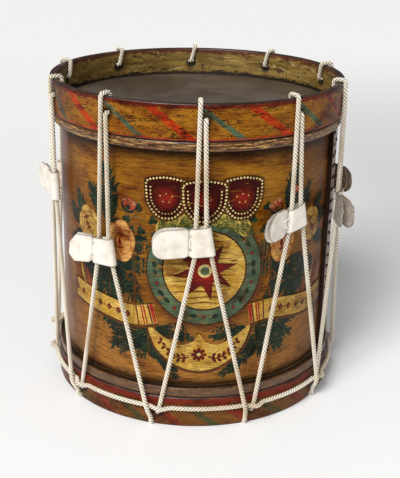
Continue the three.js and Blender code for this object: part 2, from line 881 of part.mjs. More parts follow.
function strainerTab() {
  const slotOuter = hookReach + hookRadius + seatGap;
  const slotInner = hookReach - hookRadius - hookTravel - seatGap;
  const slot = new THREE.BoxGeometry(
    2 * (hookRadius + seatGap), slotOuter - slotInner, 2 * snareHeadHeight,
  );
  slot.translate(0, -(slotOuter + slotInner) / 2, 0);
  return placeOutward(cut(foldedTab(false), [slot]), snareAngle);
}

function buttTab() {
  return placeOutward(foldedTab(true), snareAngle + 180);
}

function snareHook() {
  const stations = roundedRoute([
    { at: new THREE.Vector3(0, -hookReach, tabTop - seatGap), bend: 0 },
    { at: new THREE.Vector3(0, -hookReach, hookLevel), bend: hookBend },
    { at: new THREE.Vector3(0, -hookEnd, hookLevel), bend: 0 },
  ]);
  return placeOutward(tube(stations, hookRadius, hookSides), snareAngle);
}

const plateSeat = hoopOuterRadius + seatGap;
const nutSeat = plateSeat + plateThickness + seatGap;
const hookBore = hookRadius + seatGap;

function strainerPlate() {
  const corner = plateThickness;
  const outline = [];
  for (const [x, z] of [[1, 1], [-1, 1], [-1, -1], [1, -1]]) {
    const cuts = [[x * plateHalfWidth, z * (plateHalfHeight - corner)],
      [x * (plateHalfWidth - corner), z * plateHalfHeight]];
    outline.push(...(x === z ? cuts : cuts.reverse()));
  }
  const plate = extrude(outline, plateThickness);
  plate.rotateX(Math.PI / 2);
  plate.translate(0, -plateSeat, hookLevel);
  placeOutward(plate, snareAngle);
  const bore = radialCylinder(hookBore, holeFrom, nutSeat, snareAngle, hookLevel, hookSides);
  return cut(plate, [bore]);
}

function thumbNut() {
  const crown = nutHubRadius - nutWingThickness / 2;
  const hub = radialRevolve([
    [0, nutSeat],
    [nutHubRadius, nutSeat],
    [nutHubRadius, nutSeat + nutLength / 2],
    [crown, nutSeat + nutLength],
    [0, nutSeat + nutLength],
  ], snareAngle, hookLevel, nutSides);
  const foot = nutLength / 6;
  const wingSide = [
    [nutHubRadius - nutWingThickness, foot],
    [nutHubRadius, foot],
    [nutWingReach, foot + nutWingThickness],
    [nutWingReach, nutLength + nutWingThickness / 2],
    [nutWingReach - nutWingThickness, nutLength + nutWingThickness / 2],
    [nutHubRadius - nutWingThickness, nutLength - foot],
  ];
  const wingOutline = [...wingSide, ...wingSide.map(([x, y]) => [-x, y]).reverse()];
  const wings = extrude(wingOutline, nutWingThickness);
  wings.translate(0, 0, -nutWingThickness / 2);
  wings.rotateZ(Math.PI);
  wings.translate(0, -nutSeat, hookLevel);
  placeOutward(wings, snareAngle);
  const bore = radialCylinder(hookBore, holeFrom, hookEnd + cutOverrun, snareAngle, hookLevel, hookSides);
  return cut(join(hub, wings), [bore]);
}

// Materials
const finishes = {
  varnish: { color: 0x8a5a22, roughness: 0.45, metalness: 0 },
  hoop: { color: 0x9a6a2c, roughness: 0.5, metalness: 0 },
  bareWood: { color: 0xa58a4e, roughness: 0.8, metalness: 0 },
  skin: { color: 0x4a3a2e, roughness: 0.6, metalness: 0 },
  paleSkin: { color: 0xb9a98c, roughness: 0.6, metalness: 0 },
  rope: { color: 0xd9cdb6, roughness: 0.85, metalness: 0 },
  leather: { color: 0xe6dccb, roughness: 0.6, metalness: 0 },
  gut: { color: 0xc9b483, roughness: 0.45, metalness: 0 },
  brass: { color: 0xa98a44, roughness: 0.35, metalness: 1 },
};

const drum = new THREE.Group();

function addPiece(name, geometry, finish) {
  const mesh = new THREE.Mesh(geometry, new THREE.MeshStandardMaterial(finishes[finish]));
  mesh.name = name;
  drum.add(mesh);
}

addPiece('shell', shell(), 'varnish');
addPiece('vent_eyelet', ventEyelet(), 'brass');
addPiece('top_glue_ring', glueRing(shellTop - glueRingInset - glueRingHeight), 'bareWood');
addPiece('bottom_glue_ring', glueRing(shellBase + glueRingInset), 'bareWood');
addPiece('batter_head', revolve(headProfile(batterLevel, topHoopBase, -1)), 'skin');
addPiece('snare_head', revolve(headProfile(snareHeadHeight, bottomHoopHeight, 1)), 'paleSkin');
addPiece('top_flesh_hoop', fleshHoop(topHoopBase, -1), 'bareWood');
addPiece('bottom_flesh_hoop', fleshHoop(bottomHoopHeight, 1), 'bareWood');
addPiece('top_counterhoop', topCounterhoop(), 'hoop');
addPiece('bottom_counterhoop', bottomCounterhoop(), 'hoop');
addPiece('tension_rope', tensionRope(), 'rope');
tugShares.forEach((_, index) => {
  addPiece(`tug_${index + 1}`, tug(index), 'leather');
  addPiece(`tug_lace_${index + 1}`, lace(index), 'leather');
});
addPiece('gut_snares', gutSnares(), 'gut');
addPiece('snare_tab', strainerTab(), 'leather');
addPiece('snare_butt_tab', buttTab(), 'leather');
addPiece('snare_hook', snareHook(), 'brass');
addPiece('strainer_plate', strainerPlate(), 'brass');
addPiece('thumb_nut', thumbNut(), 'brass');

export default drum;
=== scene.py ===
"""The looks of a rope-tensioned field drum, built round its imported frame.

Lengths are millimetres until a mesh is made, angles are degrees round the drum from its front (-Y)
towards its right side (+X), and heights stand over the flat lower edge.
"""

import math
import random

import bmesh
import bpy
import numpy as np
from mathutils import Matrix, Vector, noise
from mathutils.geometry import delaunay_2d_cdt


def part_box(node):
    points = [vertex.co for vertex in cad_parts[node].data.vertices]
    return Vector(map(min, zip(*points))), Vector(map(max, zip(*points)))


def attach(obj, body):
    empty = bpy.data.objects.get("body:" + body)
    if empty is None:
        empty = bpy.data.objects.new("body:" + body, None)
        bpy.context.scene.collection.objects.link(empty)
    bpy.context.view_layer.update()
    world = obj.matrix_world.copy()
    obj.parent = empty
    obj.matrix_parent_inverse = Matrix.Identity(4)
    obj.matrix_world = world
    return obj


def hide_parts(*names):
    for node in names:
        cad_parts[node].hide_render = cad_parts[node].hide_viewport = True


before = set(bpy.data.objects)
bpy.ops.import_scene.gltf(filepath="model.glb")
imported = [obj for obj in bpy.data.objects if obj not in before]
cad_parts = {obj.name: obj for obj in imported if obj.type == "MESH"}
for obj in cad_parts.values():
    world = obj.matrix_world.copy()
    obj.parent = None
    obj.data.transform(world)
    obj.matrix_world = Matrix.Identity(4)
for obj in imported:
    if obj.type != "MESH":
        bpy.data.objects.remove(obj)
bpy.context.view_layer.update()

MM = 0.001


# Sizes from the frame

def reach(node):
    return max(-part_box(node)[0][1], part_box(node)[1][1]) / MM


def low(node):
    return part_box(node)[0][2] / MM


def high(node):
    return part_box(node)[1][2] / MM


DRUM_HEIGHT = high("top_counterhoop")
TOP_HOOP_BASE = low("top_counterhoop")
BOTTOM_HOOP_TOP = high("bottom_counterhoop")
HOOP_OUTER = reach("top_counterhoop")
HOOP_INNER = HOOP_OUTER - 9
SHELL_BASE, SHELL_TOP = low("shell"), high("shell")
SHELL_RADIUS = HOOP_INNER - 3
BATTER_LEVEL = high("batter_head")
SNARE_LEVEL = low("snare_head")
FLESH_OUTER = reach("top_flesh_hoop")
WRAP_OUTER = reach("batter_head")

# Sizes repeated from the part's source: the rope and its holes
ROPE_RADIUS, ROPE_GAP, CROSS_GAP = 3.25, 0.35, 1.9
ROPE_OUT = HOOP_OUTER + ROPE_GAP + ROPE_RADIUS
ROPE_IN = HOOP_INNER * math.cos(math.pi / 50) - ROPE_GAP - ROPE_RADIUS
ROPE_CROSS = ROPE_OUT + 2 * ROPE_RADIUS + CROSS_GAP
OVER_RIM = DRUM_HEIGHT + ROPE_GAP + ROPE_RADIUS
UNDER = ROPE_GAP + ROPE_RADIUS
TENSIONS = 10
PITCH = 360 / TENSIONS
FIRST_TOP_ANGLE, BOTTOM_SHIFT = 2.2, 19.5
TOP_STRAND, BOTTOM_HOLE, CROSSING, CROSSING_DROP = 3.55, 4.8, 7.7, 2.5
HOLE_RADIUS = 4.6
TOP_HOLE_Z, BOTTOM_HOLE_Z, RETURN_Z = DRUM_HEIGHT - 20.4, 21, 12
GIRTH_Z, GIRTH_LIFT, GIRTH_LEAD = 30.5, 0.3, 4.5
STOPPER_INSET, STOPPER_SIZE = 2.4, 6.4
RIM_BEND, HOLE_BEND = 5, 3.6
HITCH = [(-14, 3.9, 30.5), (-10.5, 3.9, 44), (-8.2, 3.4, 58), (-6.6, -3.2, 66.5),
         (-3, -4.9, 67.5), (0.1, 2.6, 67), (-1.2, 10.4, 64.5), (-4.4, 11.4, 62)]
# The tugs
TUG_HALF, TUG_REACH, LEATHER = 20, 63, 2.2
TUG_INSIDE = ROPE_RADIUS + 0.75
TUG_TOP_SPREAD, TUG_BOTTOM_SPREAD = 7, 10.8
TIP_ROUND, LEAF_GAP, LEAF_SPLAY = 17.5, 0.5, 1.2
LACE_OFFSET, LACE_SPREAD = 3.5, 7.8
# Of each tug: shares of the drum's height and of the common height and reach, of the two spreads, of
# the upper spread that it stands aside, and of the splay; then its lean, flare, droop and tilt
TUG_TABLE = [
    (0.607, 1, 1.035, 0.96, 0.98, 0.22, 1, 4.5, 2, -3, 6),
    (0.65, 0.8, 0.89, 1.15, 1.18, 0.5, 1.5, 3, 7, -9, 12),
    (0.618, 1, 0.96, 1, 1, 0, 4.5, 0, 28, 3, 0),
    (0.635, 1, 1.02, 1, 1, 0, 2, 0, 12, -3, 2),
    (0.64, 0.95, 1.05, 0.97, 1.05, 0.2, 1, -2, 6, 4, -2),
    (0.618, 1, 1, 1, 1, -0.2, 2, 1, 5, -2, 4),
    (0.653, 0.97, 1.03, 1.05, 1.1, 0, 1, -1, 5, 5, 0),
    (0.629, 1, 0.97, 1, 1, 0.1, 2.5, 2, 18, 2, -3),
    (0.675, 1, 1.05, 1, 1.02, 0, 1.5, 0, 4.5, 1, 0),
    (0.543, 0.93, 0.91, 1.17, 1.22, -0.36, 1, 1.5, 3, 3, 4),
]
# The snares and the shell's lap and vent
SNARE_ANGLE, HOOK_LEVEL = -104.3, 14
LAP_START, LAP_WIDE, LAP_STEP, LAP_BULGE, LAP_EDGE = 70, 48, 6, 2.6, 1.2
LAP_BASE, LAP_TOP = BOTTOM_HOOP_TOP + 16, TOP_HOOP_BASE - 16
VENT_Z, VENT_RADIUS = 228, 6.2

# How finely things are made
ROUND = 360
ROPE_LAY, ROPE_RING = 14.4, 1.6
LOBES, LOBE_POINTS = 3, 8

random.seed(7)


def sine(angle):
    return math.sin(math.radians(angle))


def cosine(angle):
    return math.cos(math.radians(angle))


def polar(radius, angle, height):
    return Vector((radius * sine(angle), -radius * cosine(angle), height))


def spin(angle, axis="Z"):
    return Matrix.Rotation(math.radians(angle), 4, axis)


def smoothstep(start, end, value):
    share = min(max((value - start) / (end - start), 0), 1)
    return share * share * (3 - 2 * share)


def top_angle(index):
    return FIRST_TOP_ANGLE + index * PITCH


def bottom_angle(index):
    return top_angle(index) + BOTTOM_SHIFT


def along(length):
    """The angle that a length takes along the rope's circle."""
    return math.degrees(length / ROPE_OUT)


class Tug:
    """One tug's sizes, worked out as in the part's source."""

    def __init__(self, index, height, tall, reach_share, top, bottom, aside, splay, lean, flare, droop, tilt):
        self.index = index
        self.name = f"tug_{index + 1}"
        self.level = height * DRUM_HEIGHT
        self.tall = tall
        self.half = tall * TUG_HALF
        self.reach = reach_share * TUG_REACH
        self.top = top * TUG_TOP_SPREAD
        self.bottom = bottom * TUG_BOTTOM_SPREAD
        self.middle = (self.top + self.bottom) / 2
        self.waist = self.middle + TUG_INSIDE
        self.lace = -self.waist - LACE_OFFSET
        self.angle = top_angle(index) + along(aside * TUG_TOP_SPREAD)
        self.depth = ROPE_OUT * cosine(along(self.middle))
        self.leaf_start = self.middle + math.sqrt((TUG_INSIDE + LEATHER) ** 2 - (LEAF_GAP / 2 + LEATHER) ** 2)
        self.splay = splay * LEAF_SPLAY
        self.flare = math.radians(flare)
        self.lean, self.fall, self.rise = (math.tan(math.radians(angle)) for angle in (lean, droop, tilt))

    def splay_at(self, out):
        return self.splay * (out - self.leaf_start) / (self.reach - self.leaf_start)

    def shape(self, x, y, z, lift=0):
        """Spreads and leans the sleeve with the strands, tilts it, turns its leaves out and lets them hang."""
        past = min(x + self.waist, 0)
        tall = self.tall + (1 - self.tall) * smoothstep(0, 12, -past)
        level = z * tall + x * self.rise
        spread = (self.bottom - self.top) / 2 * level / self.half * min(max(x / self.middle, -1), 1)
        turned = self.flare * smoothstep(0, 5, -past)
        lifted = lift * smoothstep(0, 26, -past) if y > 0 else 0
        return Vector((x - past - level * self.lean - spread + past * math.cos(turned) - y * math.sin(turned),
                       y + past * math.sin(turned), level + self.fall * past + lifted))

    def put(self, point):
        """From the tug's own place to the drum."""
        return spin(self.angle) @ (point + Vector((0, -self.depth, 0))) + Vector((0, 0, self.level))


TUGS = [Tug(index, *row) for index, row in enumerate(TUG_TABLE)]


# Meshes

def make_object(name, verts, faces, smooth=True):
    """A mesh object from points in millimetres."""
    mesh = bpy.data.meshes.new(name)
    mesh.from_pydata([[value * MM for value in vert] for vert in verts], [], faces)
    mesh.polygons.foreach_set("use_smooth", [smooth] * len(mesh.polygons))
    mesh.update()
    obj = bpy.data.objects.new(name, mesh)
    bpy.context.scene.collection.objects.link(obj)
    return obj


def mark(obj, name, values, kind="FLOAT", part="value"):
    """Keeps values of the points for the materials to read."""
    obj.data.attributes.new(name, kind, "POINT").data.foreach_set(part, values)


def turn_out(obj):
    """Merges doubled points and makes the faces look outwards."""
    cage = bmesh.new()
    cage.from_mesh(obj.data)
    bmesh.ops.remove_doubles(cage, verts=cage.verts, dist=1e-7)
    bmesh.ops.recalc_face_normals(cage, faces=cage.faces)
    cage.to_mesh(obj.data)
    cage.free()
    return obj


def sharpen(obj, angle=35):
    obj.data.set_sharp_from_angle(angle=math.radians(angle))
    return obj


def place(obj, materials, slot, node=None, body="drum", choose=None):
    """Hangs a piece on the empty of what it rides on, hides the part it stands for, and chooses which of its
    materials each face shows.
    """
    obj.data.materials.clear()
    for material in materials if isinstance(materials, list) else [materials]:
        obj.data.materials.append(material)
    if choose:
        for face in obj.data.polygons:
            centre = face.center / MM
            face.material_index = choose(math.hypot(centre.x, centre.y), centre.z)
    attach(obj, body)
    if node:
        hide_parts(node)
    return obj


def changed(obj, kind, **settings):
    """The object with one modifier applied."""
    modifier = obj.modifiers.new(kind, kind)
    for key, value in settings.items():
        setattr(modifier, key, value)
    mesh = bpy.data.meshes.new_from_object(obj.evaluated_get(bpy.context.evaluated_depsgraph_get()))
    obj.modifiers.clear()
    obj.data = mesh
    return obj


def cut_by(obj, cutters):
    """Cuts the joined cutters out of a piece."""
    cutter = join_objects(cutters)
    changed(obj, "BOOLEAN", object=cutter, solver="EXACT")
    bpy.data.objects.remove(cutter)
    return obj


def bevelled(obj, width, segments=2):
    changed(obj, "BEVEL", width=width * MM, segments=segments, limit_method="ANGLE")
    obj.data.polygons.foreach_set("use_smooth", [True] * len(obj.data.polygons))
    return sharpen(obj)


def join_objects(objects):
    """One mesh object from several."""
    cage = bmesh.new()
    for obj in objects:
        cage.from_mesh(obj.data)
    cage.to_mesh(objects[0].data)
    cage.free()
    for obj in objects[1:]:
        bpy.data.objects.remove(obj)
    return objects[0]


def moved(obj, matrix):
    """Moves a mesh's own points; the matrix works in millimetres."""
    scaled = matrix.copy()
    scaled.translation = matrix.translation * MM
    obj.data.transform(scaled)
    obj.data.update()
    return obj


def bent(before, at, after, bend, shares):
    """Points of the curve that rounds a corner over the bend."""
    start = at + (before - at).normalized() * bend
    end = at + (after - at).normalized() * bend
    return [start * (1 - share) ** 2 + at * 2 * share * (1 - share) + end * share ** 2 for share in shares]


def rounded(outline, steps=4):
    """(x, y, rounding) corners of a closed outline to plain points."""
    corners = [Vector((x, y)) for x, y, _ in outline]
    points = []
    for index, (_, _, bend) in enumerate(outline):
        here, after = corners[index], corners[(index + 1) % len(corners)]
        shares = [step / steps for step in range(steps + 1)]
        points += bent(corners[index - 1], here, after, bend, shares) if bend else [here]
    return points


def finer(outline, step, closed=True):
    """The same outline with points no further apart than step."""
    points = []
    ends = [Vector(point) for point in outline]
    for here, after in zip(ends, ends[1:] + ends[:1] if closed else ends[1:]):
        pieces = max(1, math.ceil((after - here).length / step))
        points += [here.lerp(after, piece / pieces) for piece in range(pieces)]
    return points if closed else points + ends[-1:]


def revolve(name, outline, wobble=None, segments=ROUND, closed=True):
    """A ring or disc about +Z from (radius, height) pairs; wobble(angle, radius, height) adds to the radius."""
    verts, faces = [], []
    for step in range(segments):
        angle = 360 * step / segments
        for radius, height in outline:
            extra = wobble(angle, radius, height) if wobble else 0
            verts.append(polar(radius + extra if radius else 0, angle, height))
    rows = len(outline)
    for step in range(segments):
        here, after = step * rows, (step + 1) % segments * rows
        for row in range(rows if closed else rows - 1):
            up = (row + 1) % rows
            faces.append((here + row, after + row, after + up, here + up))
    return turn_out(make_object(name, verts, faces))


def round_ring(radius, sides):
    return [(radius * cosine(360 * side / sides), radius * sine(360 * side / sides)) for side in range(sides)]


def rectangle(left, right, foot, top, bend=0, steps=4):
    return rounded([(left, foot, bend), (right, foot, bend), (right, top, bend), (left, top, bend)], steps)


def wall_faces(rings, sides):
    """Faces between rings of points."""
    return [(here + side, here + (side + 1) % sides, here + sides + (side + 1) % sides, here + sides + side)
            for here in range(0, (rings - 1) * sides, sides) for side in range(sides)]


def extruded(name, outline, start, end):
    """A prism: an outline from one z to another."""
    count = len(outline)
    verts = [(x, y, z) for z in (start, end) for x, y in outline]
    caps = [tuple(range(count)), tuple(range(2 * count - 1, count - 1, -1))]
    return turn_out(make_object(name, verts, caps + wall_faces(2, count), False))


def outward_tube(name, radius, start, end, angle, height):
    """A plain rod that points out of the drum."""
    tube = extruded(name, round_ring(radius, 24), start, end)
    return moved(tube, Matrix.Translation((0, 0, height)) @ spin(angle) @ spin(90, "X"))


# Sweeps

def ring_faces(rings, sides):
    """Faces between rings of points, and one at each end."""
    last = (rings - 1) * sides
    return [tuple(range(sides - 1, -1, -1)), tuple(range(last, last + sides)), *wall_faces(rings, sides)]


def swept(name, points, ring_at):
    """A rod along a path. ring_at(distance) gives (side, up) pairs about the path."""
    line = np.array([tuple(point) for point in points])
    steps = np.linalg.norm(np.diff(line, axis=0), axis=1)
    distance = np.concatenate(([0], np.cumsum(steps)))
    ways = np.diff(line, axis=0) / steps[:, None]
    tangents = np.vstack((ways[:1], ways[:-1] + ways[1:], ways[-1:]))
    tangents /= np.linalg.norm(tangents, axis=1)[:, None]
    side = np.cross((0, 0, 1.0) if abs(tangents[0][2]) < 0.9 else (1.0, 0, 0), tangents[0])
    verts = []
    for spot, tangent, run in zip(line, tangents, distance):
        side = side - tangent * side.dot(tangent)
        side /= np.linalg.norm(side)
        ring = np.array(ring_at(run))
        verts.append(spot + ring[:, :1] * side + ring[:, 1:] * np.cross(tangent, side))
    return make_object(name, np.concatenate(verts), ring_faces(len(line), len(ring)))


def rounded_route(corners, step):
    """Points along straight runs whose corners are rounded over the bend, no further apart than step."""
    route = [corners[0][0]]
    for (before, _), (at, bend), (after, _) in zip(corners, corners[1:], corners[2:]):
        route += bent(before, at, after, bend, (0, 0.17, 0.33, 0.5, 0.67, 0.83, 1)) if bend else [at]
    return finer(route + [corners[-1][0]], step, closed=False)


# Materials

def srgb(red, green, blue):
    """A colour as it shows on a screen, 0 to 255, as the shader wants it."""
    shares = [value / 255 for value in (red, green, blue)]
    return (*(share / 12.92 if share <= 0.04045 else ((share + 0.055) / 1.055) ** 2.4 for share in shares), 1)


class Wire:
    """A node's output; sums, differences, products and quotients of it add math nodes."""

    def __init__(self, looks, socket):
        self.looks = looks
        self.socket = socket

    def __add__(self, other):
        return self.looks.math("ADD", self, other)

    def __sub__(self, other):
        return self.looks.math("SUBTRACT", self, other)

    def __mul__(self, other):
        return self.looks.math("MULTIPLY", self, other)

    def __truediv__(self, other):
        return self.looks.math("DIVIDE", self, other)

    def __abs__(self):
        return self.looks.math("ABSOLUTE", self)


class Looks:
    """One procedural material: the place where it is read, and the colour built up so far."""

    def __init__(self, name, around=None, roughness=0.5, **values):
        self.material = bpy.data.materials.new(name)
        self.material.use_nodes = True
        self.tree = self.material.node_tree
        self.tree.nodes.clear()
        self.shader = self.tree.nodes.new("ShaderNodeBsdfPrincipled")
        self.shader.inputs["Roughness"].default_value = roughness
        for key, value in values.items():
            self.shader.inputs[key.replace("_", " ").title().replace("Ior", "IOR")].default_value = value
        output = self.tree.nodes.new("ShaderNodeOutputMaterial")
        self.tree.links.new(self.shader.outputs["BSDF"], output.inputs["Surface"])
        self.metres = self.node("TexCoord", (), "Object")
        self.where = self.scaled(self.metres, (1 / MM,) * 3)
        self.colour = None
        if around:
            self.wrap(around)

    def put(self, socket, value):
        if isinstance(value, Wire):
            self.tree.links.new(value.socket, socket)
        elif socket.type == "RGBA" and len(value) == 3:
            socket.default_value = srgb(*value)
        else:
            socket.default_value = value

    def node(self, kind, inputs, output=0, **settings):
        """Adds a node and gives one of its outputs. Inputs are values in order, or pairs of a socket and a value."""
        node = self.tree.nodes.new("ShaderNode" + kind)
        for key, value in settings.items():
            setattr(node, key, value)
        for socket, value in inputs.items() if isinstance(inputs, dict) else enumerate(inputs):
            self.put(node.inputs[socket], value)
        return Wire(self, node.outputs[output])

    def math(self, operation, *values):
        return self.node("Math", values, operation=operation)

    def mix(self, share, first, second, blend="MIX"):
        return self.node("Mix", {0: share, 6: first, 7: second}, 2, data_type="RGBA", blend_type=blend)

    def step(self, value, start, end, low_out=0.0, high_out=1.0):
        return self.node("MapRange", (value, start, end, low_out, high_out), interpolation_type="SMOOTHSTEP")

    def scaled(self, vector, scale):
        return self.node("VectorMath", (vector, scale), operation="MULTIPLY")

    def noise(self, scale, detail=3.0, roughness=0.55, distortion=0.0):
        return self.node("TexNoise", {"Vector": self.scaled(self.where, scale), "Scale": 1, "Detail": detail,
                                      "Roughness": roughness, "Distortion": distortion}, "Fac")

    def cells(self, scale):
        return self.node("TexVoronoi", {"Vector": self.scaled(self.where, scale), "Scale": 1}, "Distance")

    def value_of(self, name, output="Fac"):
        return self.node("Attribute", (), output, attribute_name=name)

    def bump(self, height, strength, distance):
        self.put(self.shader.inputs["Normal"],
                 self.node("Bump", {"Height": height, "Strength": strength, "Distance": distance * MM}))

    def split(self, vector):
        node = self.node("SeparateXYZ", (vector,)).socket.node
        return [Wire(self, socket) for socket in node.outputs]

    def wrap(self, radius):
        """Reads the material by the distance round the drum, the height and the radius."""
        x, y, self.height = self.split(self.where)
        turn = self.math("ARCTAN2", x, y * -1.0)
        self.angle = self.math("DEGREES", turn)
        self.away = self.math("SQRT", x * x + y * y)
        self.where = self.node("CombineXYZ", (turn * radius, self.height, self.away))

    def ground(self, first, second, start, end, *grain):
        """Two colours mixed by noise, which it gives back."""
        tone = self.noise(*grain)
        self.colour = self.mix(self.step(tone, start, end), first, second)
        return tone

    def cover(self, share, paint, blend="MIX"):
        self.colour = self.mix(share, self.colour, paint, blend)

    def patches(self, paint, start, end, most, *grain):
        """Paint where noise, which it gives back, runs from start to end."""
        tone = self.noise(*grain)
        self.fade(tone, start, end, most, paint)
        return tone

    def fade(self, value, start, end, most, paint, blend="MIX"):
        """Paint laid on more and more, up to most, as a value runs from start to end."""
        self.cover(self.step(value, start, end, 0.0, most), paint, blend)

    def finish(self, tone=None, first=0.5, last=0.5, start=0.3, end=0.7):
        """The material, its roughness going from first to last as a tone runs from start to end."""
        self.put(self.shader.inputs["Base Color"], self.colour)
        if tone:
            self.put(self.shader.inputs["Roughness"], self.step(tone, start, end, first, last))
        return self.material


VARNISHED = {"coat_weight": 0.1, "coat_roughness": 0.16, "specular_ior_level": 0.1}


def repeated(looks, angle, start, pitch):
    """-0.5 to 0.5 across each equal part of the turn, 0 at start."""
    return looks.math("FRACT", (angle + (720.0 + pitch / 2 - start)) / pitch) - 0.5


def slanted_stripe(looks, wear, start, pitch, slope, level, half_width):
    """1 inside slanting painted stripes that repeat every pitch degrees, 0 outside."""
    away = abs(repeated(looks, looks.angle + (looks.height - level) * slope, start, pitch))
    return looks.step(away + (wear - 0.5) * 0.03, half_width / pitch + 0.012, half_width / pitch - 0.004)


def dirty_holes(looks, start, level, span, most, paint):
    """Dirt round the rope holes, gone a span away from their edges."""
    x = repeated(looks, looks.angle, start, PITCH) * (math.radians(PITCH) * HOOP_OUTER)
    y = looks.height - level
    away = looks.math("SQRT", x * x + y * y)
    looks.fade(away, HOLE_RADIUS + span, HOLE_RADIUS, most, paint)


def age_and_side_shade(looks):
    """Brown glaze in blotches, short level cracks, and painted shade with a greyish-pink sheen tint towards the
    sides.
    """
    blotch = looks.noise((0.016, 0.03, 0), 5, 0.62, 0.3)
    looks.fade(blotch, 0.48, 0.68, 0.9, (172, 132, 104), "MULTIPLY")
    cracks = looks.step(looks.noise((0.07, 1.15, 0), 3, 0.6, 0.4), 0.565, 0.62, 0.0, 0.82)
    cluster = looks.step(looks.noise((0.014, 0.028, 0), 3), 0.34, 0.52)
    looks.cover(cracks * cluster, (40, 20, 8))
    # Painted shade: darker and pinker towards the sides, where less light falls and the varnish shows a sheen
    looks.fade(abs(looks.angle), 38.0, 82.0, 0.9, (164, 138, 134), "MULTIPLY")


def lay_board(looks):
    """The board under its varnish: ochre brown with level grain. Gives back its tone and its relief."""
    tone = looks.ground((130, 76, 10), (166, 110, 22), 0.36, 0.66, (0.008, 0.016, 0), 4)
    looks.fade(looks.height, 215.0, 90.0, 0.75, (166, 112, 50))
    grain = looks.patches((84, 44, 10), 0.5, 0.66, 0.8, (0.018, 0.46, 0), 5, 0.62, 0.25)
    looks.patches((62, 32, 8), 0.55, 0.62, 0.75, (0.045, 0.85, 0), 3, 0.6, 0.3)
    light = looks.patches((188, 134, 50), 0.53, 0.7, 0.5, (0.03, 1.0, 0), 3, 0.6)
    return tone, grain + light


def varnish_over(looks):
    """Amber runs strongest low down, ageing, painted shadow under the upper flesh hoop and a dark band over the lower
    one, a painted shadow line down the lap's edge, a painted sheen on the lap strip, and a painted lilac sheen on the
    left side.
    """
    runs = looks.step(looks.noise((0.075, 0.0025, 0), 3, 0.6), 0.58, 0.68, 0.0, 0.6)
    looks.cover(runs * looks.step(looks.height, 330.0, 120.0, 0.35, 1.0), (116, 62, 6))
    age_and_side_shade(looks)
    # Painted shadow: a dark band under the upper flesh hoop; a dark band over the lower one too
    ends = looks.math("MAXIMUM", looks.step(looks.height, 370.0, 394.0), looks.step(looks.height, 74.0, 60.0))
    looks.cover(ends * 0.9, (34, 18, 8))
    # Painted shadow: a dark line down the lap's edge
    looks.fade(abs(looks.angle - LAP_START), 0.7, 0.3, 0.9, (30, 17, 12))
    # Painted sheen: the lap strip lighter where it is seen at a slant
    strip = looks.step(looks.angle, LAP_START + 0.5, LAP_START + 1.0) * looks.step(looks.angle, 96.0, 86.0)
    facing = looks.node("LayerWeight", (), "Facing")
    looks.cover(strip * looks.step(facing, 0.5, 0.9, 0.1, 0.62), (180, 156, 146))
    # Painted sheen: a lilac-grey reflection laid over the left side of the shell
    left_side_sheen = looks.step(looks.angle, -60.0, -76.0, 0.0, 0.5) * looks.step(looks.angle, -110.0, -90.0)
    looks.cover(left_side_sheen, (172, 140, 132))


def varnished_wood():
    """The shell's varnished board."""
    looks = Looks("varnished_shell", SHELL_RADIUS, **VARNISHED)
    tone, relief = lay_board(looks)
    varnish_over(looks)
    looks.patches((206, 176, 120), 0.735, 0.76, 1.0, (0.3, 0.5, 0), 2, 0.5, 1.2)
    looks.bump(relief, 0.4, 0.3)
    return looks.finish(tone, 0.46, 0.34)


def old_paint(name):
    """Oil paint under the shell's varnish: brush marks, level cracks, and the board where it is thin or rubbed."""
    looks = Looks(name, SHELL_RADIUS, **VARNISHED)
    _, relief = lay_board(looks)
    board = looks.colour
    looks.colour = looks.value_of("paint", "Color")
    brush = looks.noise((0.14, 0.5, 0), 4, 0.65, 0.5)
    looks.fade(brush, 0.4, 0.66, 0.6, (0.5, 0.44, 0.38, 1), "MULTIPLY")
    looks.patches((52, 28, 10), 0.56, 0.64, 0.7, (0.06, 1.1, 0), 3, 0.55)
    rubbed = looks.noise((0.05, 0.13, 0), 5, 0.72)
    kept = looks.value_of("paint", "Alpha") * looks.step(rubbed, 0.66, 0.56, 0.2, 1.0)
    looks.colour = looks.mix(kept, board, looks.colour)
    varnish_over(looks)
    looks.bump(brush + relief, 0.4, 0.3)
    return looks.finish(brush, 0.34, 0.46)


